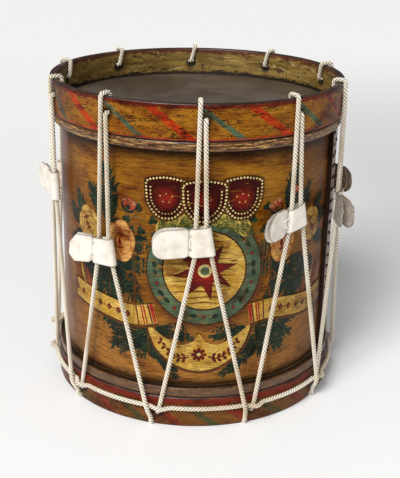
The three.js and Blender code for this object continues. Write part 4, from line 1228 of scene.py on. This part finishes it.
TAB_FOLD = HOOP_INNER - 5
TAB_MOUTH = TAB_FOLD - 28
SNARE_REACH = TAB_MOUTH + 8
SNARE_SPACING, SNARE_RUNS = 4, 8
TAB_THICK, GUT_ROOM = 1.6, 0.9
TAB_TOP = SNARE_LEVEL - 0.6
TAB_MIDDLE = TAB_TOP - TAB_THICK - GUT_ROOM
TAB_BOTTOM = TAB_MIDDLE - GUT_ROOM - TAB_THICK
HOOK_REACH = TAB_FOLD - 8
HOOK_END = HOOP_OUTER + 15
PLATE_SEAT = HOOP_OUTER + 0.3
NUT_SEAT = PLATE_SEAT + 2 + 0.3


def build_snares():
    """One length of gut to and fro under the lower head, laid as a fine two-way cord."""
    drop = SNARE_REACH - 12
    level = SNARE_LEVEL - 0.9
    turn = SNARE_SPACING / 2
    corners = []
    for run in range(SNARE_RUNS):
        x = (run - (SNARE_RUNS - 1) / 2) * SNARE_SPACING
        way = 1 if run % 2 == 0 else -1
        for y, z in ((SNARE_REACH, TAB_MIDDLE), (drop, TAB_MIDDLE), (drop - 12, level), (12 - drop, level),
                     (-drop, TAB_MIDDLE), (-SNARE_REACH, TAB_MIDDLE)):
            corners.append((Vector((x, way * y, z)), 3))
        if run < SNARE_RUNS - 1:
            corners += [(Vector((x + turn - turn * cosine(step), -way * (SNARE_REACH + turn * sine(step)),
                                 TAB_MIDDLE)), 0.6) for step in (45, 90, 135)]
    points = [spin(SNARE_ANGLE) @ point for point in rounded_route(corners, 3)]
    obj = swept("gut_strands", points, lambda run: round_ring(0.6 + 0.05 * math.sin(run * 1.4), 8))
    place(turn_out(obj), gut(), "gut", "gut_snares")


def build_tab(name, node, angle, outer, leather, cutters=()):
    """A folded leather strap in section, drawn along the snares."""
    corners = [(TAB_MOUTH, TAB_TOP, 0.5), *outer, (TAB_MOUTH, TAB_BOTTOM, 0.5),
               (TAB_MOUTH, TAB_MIDDLE - GUT_ROOM, 0.3), (SNARE_REACH + 4, TAB_MIDDLE - GUT_ROOM, 0.6),
               (SNARE_REACH + 4, TAB_MIDDLE + GUT_ROOM, 0.6), (TAB_MOUTH, TAB_MIDDLE + GUT_ROOM, 0.3)]
    obj = moved(extruded(name, finer(rounded(corners, 3), 4), -17, 17), spin(-90) @ spin(90, "X"))
    if cutters:
        cut_by(obj, cutters)
    place(moved(bevelled(obj, 0.35), spin(angle)), leather, "white_leather", node)


def build_tabs(leather):
    slot = extruded("slot", rectangle(-2.3, 2.3, -HOOK_REACH - 2.3, -HOOK_REACH + 5.3, 2), 20, 50)
    build_tab("strainer_strap", "snare_tab", SNARE_ANGLE,
              [(TAB_FOLD, TAB_TOP, 1.4), (TAB_FOLD, TAB_BOTTOM, 1.4)], leather, [slot])
    build_tab("butt_strap", "snare_butt_tab", SNARE_ANGLE + 180,
              [(TAB_FOLD + 1.6, TAB_TOP, 1.2), (TAB_FOLD + 1.6, 12, 0.5), (TAB_FOLD, 12, 0.5),
               (TAB_FOLD, TAB_BOTTOM, 1.0)], leather)


def build_hook(brass):
    """A bent rod, threaded where the thumb nut runs."""
    corners = [(Vector((0, -HOOK_REACH, TAB_TOP - 0.3)), 0), (Vector((0, -HOOK_REACH, HOOK_LEVEL)), 5),
               (Vector((0, -HOOK_END, HOOK_LEVEL)), 0)]
    points = [spin(SNARE_ANGLE) @ point for point in rounded_route(corners, 0.25)]
    total = sum((after - before).length for before, after in zip(points, points[1:]))

    def ring(run, sides=20):
        left = total - run
        threaded = 0.22 * smoothstep(17, 16, left)
        end = 0.45 * smoothstep(1.2, 0, min(run, left))
        radii = [2 - end - threaded * abs(((run + side / sides) % 1) * 2 - 1) for side in range(sides)]
        return [(radius * x, radius * y) for radius, (x, y) in zip(radii, round_ring(1, sides))]
    place(turn_out(swept("strainer_hook", points, ring)), brass, "brass", "snare_hook", "snare_hook")


def on_hoop(x, out, z):
    """From flat on the table to standing on the lower hoop at the strainer."""
    return spin(SNARE_ANGLE) @ Matrix.Translation((x, -out, HOOK_LEVEL + z)) @ spin(90, "X")


def build_plate(brass):
    """The strainer's brass plate, held by four slotted screws."""
    plate = extruded("plate", rectangle(-13, 13, -10.5, 10.5, 2), 0, 2)
    cut_by(plate, [extruded("bore", round_ring(2.3, 24), -1, 3)])
    place(moved(bevelled(plate, 0.4), on_hoop(0, PLATE_SEAT, 0)), brass, "brass", "strainer_plate")
    head = rounded([(0, -0.6, 0), (2, -0.6, 0), (2, 0.2, 0.3), (1.3, 0.8, 0.8), (0, 0.95, 0)], 3)
    for index, (x, z) in enumerate(((-9.5, 7), (9.5, 7), (-9.5, -7), (9.5, -7))):
        screw = revolve(f"plate_screw_{index + 1}", head, segments=28, closed=False)
        slit = extruded("slit", rectangle(-2.4, 2.4, -0.28, 0.28), 0.45, 2)
        cut_by(screw, [moved(slit, spin(20 + 47 * index))])
        place(sharpen(moved(screw, on_hoop(x, PLATE_SEAT + 1.9, z)), 40), brass, "brass")


def build_nut(brass, long=7.5):
    """A thumb nut: a turned hub with two cast wings."""
    hub = revolve("thumb_nut_piece", rounded([(2.3, 0, 0.3), (5.5, 0, 0.6), (5.5, long * 0.5, 1.2),
                                              (4.1, long, 0.9), (2.3, long, 0.3)]), segments=72)
    side = rounded([(3.4, 1.4, 0), (5.5, 1.4, 0.8), (8.6, 2.4, 2), (10.4, 4.6, 2),
                    (10.2, 8.8, 1.2), (8.0, 8.8, 1.6), (6.4, 7.2, 1.4), (3.4, 6.4, 0)])
    pieces = [hub]
    for way in (1, -1):
        wing = extruded("wing", [(way * x, y) for x, y in side], -1.3, 1.3)
        pieces.append(moved(bevelled(wing, 0.55, 3), spin(90, "X")))
    nut = moved(join_objects(pieces), on_hoop(0, NUT_SEAT, 0))
    place(sharpen(nut, 40), brass, "brass", "thumb_nut", "thumb_nut")


# Painted ornament on the shell

def heading(angle):
    return Vector((cosine(angle), sine(angle)))


def crosswise(way):
    return Vector((-way.y, way.x))


def blended(first, second, share):
    return tuple(a + (b - a) * share for a, b in zip(first, second))


def thin(colour, cover):
    """The same paint laid on thinly, so that the board shows through."""
    return (*colour[:3], cover)


def cloudy(first, second, scale, seed):
    """Two paints mixed in soft patches that lie level."""
    return lambda point: blended(first, second, min(max(0.5 + 0.9 * noise.noise(
        Vector((point.x * scale, point.y * scale * 2, seed))), 0), 1))


def spline(points, steps=8):
    """A smooth line through the points."""
    padded = [Vector(point) for point in (points[0], *points, points[-1])]
    line = []
    for a, b, c, d in zip(padded, padded[1:], padded[2:], padded[3:]):
        for step in range(steps):
            t = step / steps
            line.append(0.5 * ((2 * b) + (c - a) * t + (2 * a - 5 * b + 4 * c - d) * t * t
                               + (3 * b - a - 3 * c + d) * t ** 3))
    return line + padded[-1:]


def shrunk(points, middle, share, shift=(0, 0)):
    return [middle + (Vector(point) - middle) * share + Vector(shift) for point in points]


class Painting:
    """Painted shapes, in millimetres along the shell from its front and up, in thin layers."""

    def __init__(self):
        self.verts, self.faces, self.colours = [], [], []
        self.slim = (0, 1)

    def fill(self, outline, layer, colour, grid=5.0):
        """Fills an outline. The colour is one value or a function of the point; its fourth part says how
        thick the paint is."""
        points = finer(outline, 4)
        edge = list(range(len(points)))
        left, right = min(point.x for point in points), max(point.x for point in points)
        foot, top = min(point.y for point in points), max(point.y for point in points)
        points += [Vector((x, y)) for x in np.arange(left + grid / 2, right, grid)
                   for y in np.arange(foot + grid / 2, top, grid)]
        flat, _, faces, *_ = delaunay_2d_cdt(points, [], [edge], 1, 1e-4)
        self.faces += [tuple(len(self.verts) + corner for corner in face) for face in faces]
        for point in flat:
            middle, share = self.slim
            angle = math.degrees((middle + (point.x - middle) * share) / SHELL_RADIUS)
            surface = SHELL_RADIUS + shell_wobble(angle, point.y) + 0.16 + 0.06 * layer
            self.verts.append(polar(surface, angle, point.y))
            self.colours.append(colour(point) if callable(colour) else colour)

    def stroke(self, points, ends, layer, colour, grid=5.0):
        """One brush stroke along the points; ends are its half widths at both ends, and what it swells by."""
        start_half, end_half, swell = (*ends, 0)[:3]
        line = spline(points)
        left, right = [], []
        last = len(line) - 1
        for index, point in enumerate(line):
            aside = crosswise((line[min(index + 1, last)] - line[max(index - 1, 0)]).normalized())
            share = index / last
            half = start_half + (end_half - start_half) * share + swell * math.sin(math.pi * share)
            left.append(point + aside * half)
            right.append(point - aside * half)
        self.fill(left + right[::-1], layer, colour, grid)

    def dot(self, x, y, radius, layer, colour, steps=8, grid=9):
        self.fill([(x + dx, y + dy) for dx, dy in round_ring(radius, steps)], layer, colour, grid)

    def ring(self, x, y, inner, outer, layer, colour, pieces=12):
        """A flat painted ring, in overlapping pieces."""
        for piece in range(pieces):
            rays = [heading(360 * (piece + step / 6) / pieces) for step in range(7)]
            middle = Vector((x, y))
            self.fill([middle + ray * outer for ray in rays] + [middle + ray * inner for ray in rays[::-1]],
                      layer, colour)

    def build(self, name, material):
        obj = make_object(name, self.verts, self.faces)
        cage = bmesh.new()
        cage.from_mesh(obj.data)
        for face in cage.faces:
            if face.normal.xy.dot(face.calc_center_median().xy) < 0:
                face.normal_flip()
        cage.to_mesh(obj.data)
        cage.free()
        mark(obj, "paint", [part for colour in self.colours for part in colour], "FLOAT_COLOR", "color")
        place(obj, material, "varnished_shell")


DARK_GREEN, LEAF_GREEN, OLIVE = srgb(16, 38, 28), srgb(52, 80, 50), srgb(74, 84, 40)
RING_GREEN, RING_DARK = srgb(98, 120, 88), srgb(64, 82, 62)
OUTLINE, SHADOW = srgb(52, 24, 12), srgb(84, 40, 14)
YELLOW, PALE, GOLD = srgb(198, 150, 44), srgb(226, 188, 98), srgb(244, 224, 150)
DEEP_RED, BRIGHT_RED, PURPLE = srgb(98, 16, 12), srgb(168, 38, 24), srgb(96, 34, 36)
PEACH_ROSE = (srgb(160, 62, 24), srgb(232, 176, 98))
YELLOW_ROSE = (srgb(158, 94, 28), srgb(222, 184, 92))


def blob(centre, long, wide, angle, steps=22):
    """A soft oval, long along angle, its far end a little broader."""
    ahead = heading(angle)
    aside = crosswise(ahead)
    turns = [360 * step / steps for step in range(steps)]
    return [centre + ahead * long * cosine(turn) + aside * wide * (1 + 0.14 * cosine(turn)) * sine(turn)
            for turn in turns]


def petal(canvas, centre, angle, long, wide, layer, deep, lip):
    """One cupped petal: dark at its foot, pale towards its rolled lip, shaded at its sides."""
    ahead = heading(angle)
    aside = crosswise(ahead)

    def colour(point):
        out, over = (point - centre).dot(ahead), (point - centre).dot(aside)
        rise = smoothstep(-0.75, 0.6, out / long)
        side = smoothstep(0.35, 1.05, abs(over) / wide)
        streak = 0.5 + 0.5 * noise.noise(Vector((over * 0.35, out * 0.05, centre.x)))
        return blended(blended(deep, lip, rise), deep, min(0.55 * side + 0.3 * streak * (1 - 0.6 * rise), 1))
    canvas.fill(blob(centre, long + 0.5, wide + 0.5, angle), layer, thin(blended(deep, OUTLINE, 0.2), 0.7), 12)
    canvas.fill(blob(centre, long, wide, angle), layer + 0.2, colour, 2.4)


def rose(canvas, x, y, size, paints, layer, turn, slim):
    """A cabbage rose: broad soft outer petals, cupped inner ones, and crescents round a dark heart."""
    deep, lip = paints
    middle = Vector((x, y))
    canvas.slim = (x, slim)
    for ring, (count, out, long, wide) in enumerate(
            ((5, 0.5, 0.5, 0.56), (4, 0.28, 0.42, 0.5), (3, 0.1, 0.3, 0.36))):
        for step in range(count):
            angle = turn + ring * 50 + step * 360 / count
            petal(canvas, middle + heading(angle) * out * size, angle, long * size, wide * size,
                  layer + 2 * ring + 0.4 * step, deep, blended(lip, deep, 0.14 * ring))
    heart = middle - Vector((0.06, 0.02)) * size
    canvas.fill(blob(heart, 0.22 * size, 0.17 * size, turn), layer + 7, lambda point: blended(
        DEEP_RED, deep, smoothstep(0.05, 0.2, (point - heart).length / size)), 2)
    for spun, out, long, paint in ((10, 0.13, 0.2, lip), (150, 0.2, 0.26, lip), (262, 0.27, 0.3, DEEP_RED),
                                   (75, 0.33, 0.34, DEEP_RED), (205, 0.38, 0.34, lip), (330, 0.42, 0.3, lip)):
        points = [heart + heading(turn + spun + swing) * out * size * (1 + abs(swing) / 150)
                  for swing in (-52, -20, 14, 46)]
        canvas.stroke(points, (0.3, 0.3, 0.06 * long * size + 0.9), layer + 7.5, thin(paint, 0.75), 3)
    canvas.slim = (0, 1)


def leaf(canvas, x, y, length, wide, angle, layer, teeth=0.0, colour=DARK_GREEN, vein=LEAF_GREEN):
    """A pointed leaf from its foot, its edge cut into teeth, with paler veins."""
    ahead = heading(angle)
    aside = crosswise(ahead)
    foot = Vector((x, y))

    def edge(side):
        line = []
        for step in range(15):
            share = step / 14
            body = wide / 2 * math.sin(math.pi * share ** 1.05) ** 0.75 * (1 + teeth * (step % 2))
            line.append(foot + ahead * length * share + aside * (side * body + 0.1 * length * share * share))
        return line
    canvas.fill(edge(1) + edge(-1)[::-1][1:-1], layer, lambda point: blended(colour, vein, 0.6 * max(
        0, noise.noise(Vector((point.x * 0.08, point.y * 0.08, angle))))))
    canvas.stroke([foot, foot + ahead * length * 0.5 + aside * 0.03 * length,
                   foot + ahead * length * 0.9 + aside * 0.08 * length], (0.7, 0.2), layer + 0.5,
                  blended(colour, vein, 0.8), 6)
    for step in range(2, round(length / 7)):
        share = step * 7 / length
        spot = foot + ahead * length * share + aside * 0.1 * length * share * share
        for side in (-1, 1):
            canvas.stroke([spot, spot + (ahead * 0.3 + aside * side) * wide * 0.16,
                           spot + (ahead * 0.9 + aside * side) * wide * 0.26], (0.3, 0.2, 0.7), layer + 0.6,
                          blended(colour, vein, 0.6), 9)


def plume(canvas, x, y, length, wide, angle, draw):
    """A feathery spray: narrow leaflets along both sides of a bent stem, dark at the foot."""
    foot = Vector((x, y))
    ahead = heading(angle)
    bend = draw.uniform(-0.2, 0.2) * length
    count = max(5, round(length / 4.6))
    for step in range(count + 1):
        share = step / count
        spot = foot + ahead * length * share + crosswise(ahead) * bend * share * share
        long = wide * 0.5 * (0.45 + 0.75 * math.sin(math.pi * min(0.15 + share * 0.8, 1)))
        for side in (-1, 1):
            way = heading(angle + side * (62 - 34 * share) + draw.uniform(-12, 12))
            out = long * draw.uniform(0.75, 1.2)
            tint = blended(DARK_GREEN, LEAF_GREEN, draw.uniform(0, 0.55))
            canvas.stroke([spot, spot + way * out * 0.5 + ahead * out * 0.05, spot + way * out + ahead * out * 0.16],
                          (1.5, 0.15, out * 0.07), draw.uniform(0, 0.9), tint, 9)


def foliage(canvas, x, y, length, wide, angle, draw, size, teeth):
    """A spray with a broad toothed leaf on it."""
    plume(canvas, x, y, length, wide, angle, draw)
    leaf(canvas, x, y, length * size[0], wide * size[1], angle, 1, teeth)


def beads(canvas, points, radius, gap, layer):
    """Round cream dabs spaced along a smooth line."""
    line = spline(points, 24)
    run = gap
    for before, after in zip(line, line[1:]):
        run += (after - before).length
        if run >= gap:
            canvas.dot(*after, radius, layer, GOLD)
            run = 0


def ribbon(canvas, points, barred_end, half=14.5, layer=17):
    """A painted scroll: shaded lower edge, a row of lozenges and dots, and red bars at one end."""
    line = spline(points, 10)
    count = len(line) - 1
    canvas.stroke([(x + 1, y - 3.5) for x, y in points], (half + 1, half + 1), layer - 1, thin(SHADOW, 0.8))
    canvas.stroke(points, (half + 1.2, half + 1.2), layer, OUTLINE)
    canvas.stroke(points, (half, half), layer + 1, cloudy(YELLOW, PALE, 0.035, points[0][0]))

    def across(share):
        index = round(count * (share if barred_end > 0 else 1 - share))
        ahead = (line[min(index + 1, count)] - line[max(index - 1, 0)]).normalized()
        return line[index], ahead, crosswise(ahead)
    for bar in range(6):
        spot, _, aside = across(0.985 - 0.036 * bar)
        canvas.stroke([spot + aside * half * 0.97, spot, spot - aside * half * 0.97], (1.6 - 0.12 * bar, 0.9),
                      layer + 2, PURPLE if bar % 3 == 2 else BRIGHT_RED)
    for step in range(13):
        spot, ahead, aside = across(0.08 + 0.052 * step)
        if step % 2:
            canvas.dot(*spot, 1.3, layer + 2, thin(OUTLINE, 0.8), grid=5)
        else:
            lozenge = [spot + aside * 5.4, spot + ahead * 5, spot - aside * 5.4, spot - ahead * 5]
            canvas.fill(lozenge, layer + 2, thin(OUTLINE, 0.85))
            canvas.fill(shrunk(lozenge, spot, 0.45), layer + 2.5, BRIGHT_RED)
    spot, _, aside = across(0.02)
    canvas.stroke([spot + aside * half, spot, spot - aside * half], (3.5, 3), layer + 2, thin(PURPLE, 0.6))


def medallion(canvas, x, y):
    """A green ring of dots and sprigs round a yellow field with an eight-pointed star."""
    field, ring_in, ring_out = 56, 57.5, 78
    middle = Vector((x, y))
    shade = Vector((x + 3, y - 3))
    canvas.ring(*shade, 70, 92, 1, lambda point: thin(SHADOW, 0.85 * smoothstep(92, 76, (point - shade).length)))
    canvas.dot(x, y, ring_out + 1.5, 2, OUTLINE, 48, 7)
    canvas.dot(x, y, field, 3, cloudy(YELLOW, PALE, 0.05, 1), 40, 5)
    for step in range(13):
        rise = 8 * step - 48
        half = math.sqrt((field - 2) ** 2 - rise ** 2) * 0.92
        shift = 7 * math.sin(step * 2.3)
        canvas.stroke([(x - half + shift, y + rise), (x + shift, y + rise + 2.5), (x + half * 0.8, y + rise)],
                      (0.3, 0.3, 0.8), 4, thin(SHADOW, 0.55))
    canvas.ring(x, y, ring_in, ring_out, 4, cloudy(RING_GREEN, RING_DARK, 0.04, 2))
    canvas.ring(x, y, field - 0.4, ring_in, 5, OUTLINE)
    for step in range(20):
        turn = 18 * step
        spot = middle + heading(turn) * 67.5
        if step % 2:
            canvas.dot(*spot, 2.7, 6, OUTLINE, 10)
            canvas.dot(*spot, 1.7, 6.5, BRIGHT_RED)
        else:
            for side in (-1, 1):
                leaf(canvas, *spot, 12, 6, turn + 90 * side, 6, vein=RING_DARK)
    star = [middle + heading(22.5 * step + 11.25) * (19 if step % 2 else 42) for step in range(16)]
    canvas.fill(shrunk(star, middle, 1.05), 6, OUTLINE)
    canvas.fill(star, 7, lambda point: blended(BRIGHT_RED, DEEP_RED, smoothstep(4, 34, (point - middle).length)))
    canvas.dot(x, y, 9.5, 8, GOLD, 20, 5)
    canvas.dot(x, y, 6, 9, RING_GREEN, 16, 5)


def garland(canvas, x, y, radius, draw):
    """Yellow-green leaves laid over the ring's shoulder, rows of dark ones under pale ones."""
    paints = (OLIVE, srgb(212, 184, 92), srgb(150, 142, 66))
    for row, (out, long) in enumerate(((6, 21), (-6, 19), (0, 17))):
        for step in range(23):
            turn = 36 + step * 108 / 22 + 2 * row
            spot = Vector((x, y)) + heading(turn) * (radius + out + draw.uniform(-2, 2))
            aim = turn + (90 if turn < 90 else -90) + draw.uniform(-26, 26)
            leaf(canvas, *spot, long, 8, aim, 12 + row, 0, paints[(step + row) % 3], OLIVE)


def swag(canvas, x, y, deep=46):
    """Three dark-red scallops edged with cream beads, hung side by side over the garland."""
    black_red, body_red, deep_red, heart_red = srgb(26, 8, 6), srgb(62, 11, 9), srgb(70, 12, 8), srgb(146, 30, 20)
    for shift, drop, wide, layer in ((-50, 0, 54, 16), (50, 0, 54, 16), (0, 3, 56, 20)):
        centre, top = x + shift, y + 22 - drop
        edge = [(centre + wide * share, top - deep * down) for share, down in (
            (-0.5, 0), (-0.46, 0.55), (-0.24, 0.92), (0, 1), (0.24, 0.92), (0.46, 0.55), (0.5, 0))]
        lip = [(centre + wide * share, top + up) for share, up in (
            (0.44, 5), (0.24, 8), (0, 9.5), (-0.24, 8), (-0.44, 5))]
        body = spline(edge + lip + edge[:1])[:-1]
        middle = Vector((centre, top - deep * 0.4))
        canvas.fill(shrunk(body, middle, 1.13), layer - 1, thin(SHADOW, 0.8))
        canvas.fill(shrunk(body, middle, 1.08), layer, black_red)
        canvas.fill(body, layer + 1, body_red)
        canvas.fill(shrunk(body, middle, 0.62), layer + 1.5, lambda point, middle=middle: blended(
            heart_red, deep_red, smoothstep(2, 19, (point - middle).length)), 4)
        beads(canvas, body + body[:1], 1.55, 4.5, layer + 2)
        beads(canvas, shrunk(edge, middle, 0.78), 1.2, 4.2, layer + 2)
        for dx, dy in ((-8, 3), (0, 6), (8, 3), (-4, -5), (4, -5)):
            canvas.dot(middle.x + dx, middle.y + dy, 1.1, layer + 2, PALE)


def panel(canvas, x, y):
    """A yellow boat-shaped panel with a raised middle, a rosette and two leafy stems."""
    lower = [(x + dx, y + dy) for dx, dy in (
        (-74, 50), (-60, 14), (-32, -10), (0, -18), (32, -10), (60, 14), (74, 50))]
    upper = [(x + dx, y + dy) for dx, dy in ((52, 34), (28, 22), (10, 26), (0, 38), (-10, 26), (-28, 22), (-52, 34))]
    body = spline(lower) + spline(upper)
    middle = Vector((x, y + 12))
    canvas.fill(shrunk(body, middle, 1.05, (1, -3)), 5, thin(SHADOW, 0.8))
    canvas.fill(shrunk(body, middle, 1.035), 6, OUTLINE)
    canvas.fill(body, 7, cloudy(YELLOW, PALE, 0.05, 5))
    centre = Vector((x, y + 7))
    for turn in range(0, 360, 45):
        canvas.fill(blob(centre + heading(turn) * 6.5, 4.2, 2.5, turn), 8, DEEP_RED, 9)
    canvas.dot(*centre, 2.6, 9, GOLD, 12)
    for way in (-1, 1):
        stem = [(x + way * dx, y + dy) for dx, dy in ((13, 3), (26, 1), (40, 9), (52, 24))]
        canvas.stroke(stem, (1.1, 0.5, 0.3), 8, DEEP_RED)
        for share, spot in enumerate(spline(stem, 2)[1:]):
            out = 5 * share + (0 if way > 0 else 180)
            for side in (-1, 1):
                leaf(canvas, *spot, 9 - 0.6 * share, 4.4, out * way + side * 58, 8.5, 0, DEEP_RED, PURPLE)


def bud(canvas, x, y, angle, layer=3):
    """A rosebud: pointed striped petals in a green cup."""
    leaf(canvas, x, y, 17, 10, angle + 36, layer)
    leaf(canvas, x, y, 17, 10, angle - 36, layer)
    foot = Vector((x, y)) + heading(angle) * 4
    for spread, up, red in ((30, 2, 150), (-30, 2.7, 168), (0, 3.4, 196)):
        leaf(canvas, *foot, 19, 11, angle + spread, layer + up, 0, srgb(red, 76, 48), srgb(236, 190, 146))
    leaf(canvas, *foot, 9, 7, angle, layer + 5, 0.2)


def posy(canvas, x, y, way, draw):
    """Roses, a bud, broad toothed leaves and feathery sprays on one flank."""
    def turned(angle):
        return angle if way > 0 else 180 - angle
    for dx, dy, length, wide, angle in (
            (8, 22, 76, 38, 92), (-8, 30, 40, 26, 110), (-44, 8, 36, 26, 160), (-40, 18, 34, 24, 120),
            (-40, -8, 40, 26, 205), (38, -6, 36, 30, 8), (34, -22, 40, 30, -32), (2, -26, 66, 40, -88),
            (22, -30, 60, 36, -68), (-22, -30, 52, 34, -112), (-6, -26, 62, 30, -100)):
        foliage(canvas, x + way * dx, y + dy, length, wide, turned(angle), draw, (0.93, 0.84), 0.14)
    bud(canvas, x + way * 36, y + 40, turned(72))
    if way < 0:
        bud(canvas, x - 2, y + 52, 96)
    rose(canvas, x + way * 27, y - 2, 30, PEACH_ROSE, 5, 12, 0.72)
    rose(canvas, x - way * 34, y + 10, 25, YELLOW_ROSE, 4, 40, 0.85)


def small_sprays(canvas, draw):
    """Three-lobed leaves on thin curling stems between the posies and the middle."""
    for x, y, way in ((-74, 292, 1), (96, 294, -1)):
        for stem in ([(-26, -2), (-10, 8), (8, 4), (22, -6)], [(-24, -6), (-8, -10), (10, -14), (20, -8)],
                     [(-10, 8), (-2, 16), (0, 20)]):
            canvas.stroke([(x + way * dx, y + dy) for dx, dy in stem], (0.9, 0.5), 2, srgb(120, 104, 50), 9)
        for dx, dy in ((-20, 4), (-3, 21), (18, 6), (1, -11), (-14, -12), (22, -14)):
            lean = draw.uniform(-25, 25)
            for turn in (90, 210, 330):
                spot = Vector((x + way * dx, y + dy)) + heading(turn + lean) * 3.5
                canvas.dot(*spot, 3.5, 3, blended(DARK_GREEN, LEAF_GREEN, draw.uniform(0, 0.6)), 10, 6)


def undergrowth(canvas, draw):
    """Dark leaves under the scrolls and round the lower panel."""
    for x, way in ((-66, -1), (88, 1)):
        for dx, dy, length, wide, angle in (
                (0, 2, 66, 34, 190), (0, -4, 60, 34, 206), (6, -8, 46, 30, 224), (-4, -12, 32, 26, 248),
                (10, 2, 34, 24, 172), (-2, -24, 34, 24, -50), (-20, -44, 34, 22, -42), (-14, 0, 36, 24, -14),
                (-24, 2, 36, 20, 2), (-40, -4, 24, 16, -10)):
            foliage(canvas, x + way * dx, 142 + dy, length, wide, angle if way < 0 else 180 - angle, draw,
                    (0.9, 0.8), 0.16)


def drapery(canvas):
    """Purple-brown folds above the outer ends of the scrolls."""
    for x, way in ((-206, 1), (222, -1)):
        for step in range(7):
            line = [(x + way * 7 * step, 222 - 3 * step), (x + way * (5 + 7 * step), 200 - 2 * step),
                    (x + way * (15 + 7 * step), 176 - step)]
            paint = (PURPLE, BRIGHT_RED, DEEP_RED, PALE)[step % 4]
            canvas.stroke(line, (0.8, 0.8, 1.6), 2 + 0.3 * step, thin(paint, 0.65), 4)


def tendrils(canvas):
    """Thin brown curls in the gaps beside the ring."""
    for x, y, way in ((-78, 214, -1), (100, 214, 1), (-66, 196, -1), (92, 192, 1), (-84, 240, -1), (108, 244, 1)):
        curl = [(x + way * dx, y + dy) for dx, dy in ((0, 0), (10, 7), (17, 0), (12, -6), (8, -1))]
        canvas.stroke(curl, (1.3, 0.5, 0.5), 2, thin(SHADOW, 0.7))


def build_painting():
    canvas = Painting()
    draw = random.Random(21)
    undergrowth(canvas, draw)
    drapery(canvas)
    tendrils(canvas)
    posy(canvas, -130, 264, 1, draw)
    posy(canvas, 154, 262, -1, draw)
    small_sprays(canvas, draw)
    panel(canvas, 8, 100)
    medallion(canvas, 14, 231)
    garland(canvas, 14, 231, 76, draw)
    swag(canvas, 12, 327)
    ribbon(canvas, [(-202, 170), (-166, 166), (-124, 161), (-86, 158), (-52, 165)], 1)
    ribbon(canvas, [(76, 163), (106, 166), (144, 161), (184, 156), (232, 160)], -1)
    canvas.build("shell_painting", old_paint("shell_painting"))


# Stage

def build_stage():
    plane = make_object("floor", [(-9000, -4000, 0), (9000, -4000, 0), (9000, 16000, 0), (-9000, 16000, 0)],
                        [(0, 1, 2, 3)])
    plane.data.materials.append(floor_looks())


def build_light():
    """A broad high key from the front left, and a low even fill that glossy things see darker."""
    world = bpy.data.worlds.new("studio")
    world.use_nodes = True
    tree = world.node_tree
    background = tree.nodes["Background"]
    background.inputs["Color"].default_value = (1, 1, 1, 1)
    path = tree.nodes.new("ShaderNodeLightPath")
    glossy, camera = (tree.nodes.new("ShaderNodeMapRange") for _ in range(2))
    for fill, ray, seen in ((glossy, "Is Glossy Ray", 0.1), (camera, "Is Camera Ray", 0.87)):
        tree.links.new(path.outputs[ray], fill.inputs["Value"])
        fill.inputs["To Max"].default_value = seen
    glossy.inputs["To Min"].default_value = 0.34
    tree.links.new(glossy.outputs[0], camera.inputs["To Min"])
    tree.links.new(camera.outputs[0], background.inputs["Strength"])
    bpy.context.scene.world = world
    data = bpy.data.lights.new("key", "SUN")
    data.energy = 2.75
    data.angle = math.radians(27)
    key = bpy.data.objects.new("key", data)
    key.rotation_euler = Vector((0.42, 0.76, -0.84)).to_track_quat("-Z", "Y").to_euler()
    bpy.context.scene.collection.objects.link(key)


def build_camera():
    """The photograph's camera: 72 mm on a 36 mm long side, looking down at 20.7 degrees."""
    pitch, yaw, roll = 0.36125, 0.0057835, 0.018393
    right = Vector((math.cos(yaw), -math.sin(yaw), 0))
    level = Vector((math.sin(yaw), math.cos(yaw), 0))
    ahead = level * math.cos(pitch) - Vector((0, 0, math.sin(pitch)))
    up = level * math.sin(pitch) + Vector((0, 0, math.cos(pitch)))
    x_axis = right * math.cos(roll) + up * math.sin(roll)
    y_axis = up * math.cos(roll) - right * math.sin(roll)
    data = bpy.data.cameras.new("camera")
    data.lens = 72.03
    data.sensor_width = 36
    camera = bpy.data.objects.new("camera", data)
    camera.matrix_world = Matrix.Translation((0, -1.3687, 0.7186)) @ Matrix(
        (x_axis, y_axis, -ahead)).transposed().to_4x4()
    bpy.context.scene.collection.objects.link(camera)
    bpy.context.scene.camera = camera


def dress_hidden_nodes():
    """The pieces inside the drum keep their own solids."""
    wood = bare_wood("inner_wood", (172, 142, 92), (132, 102, 58), (84, 58, 30))
    for name in ("top_glue_ring", "bottom_glue_ring", "top_flesh_hoop", "bottom_flesh_hoop"):
        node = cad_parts[name]
        node.data.materials.clear()
        node.data.materials.append(wood)


def build_drum():
    varnish = varnished_wood()
    brass = old_metal("brass", (190, 152, 84), (118, 88, 44), 0.28)
    tab_leather = white_leather("tab_leather", (206, 186, 150), (172, 148, 108), (96, 72, 46))
    for build in (build_rope, build_tugs, build_top_hoop, build_bottom_hoop, build_heads):
        build()
    build_shell(varnish)
    build_lap(varnish)
    build_tacks()
    build_eyelet(brass)
    build_snares()
    build_tabs(tab_leather)
    for build in (build_hook, build_plate, build_nut):
        build(brass)
    build_painting()
    dress_hidden_nodes()


bpy.context.scene.view_settings.view_transform = "Standard"
build_camera()
build_stage()
build_light()
build_drum()
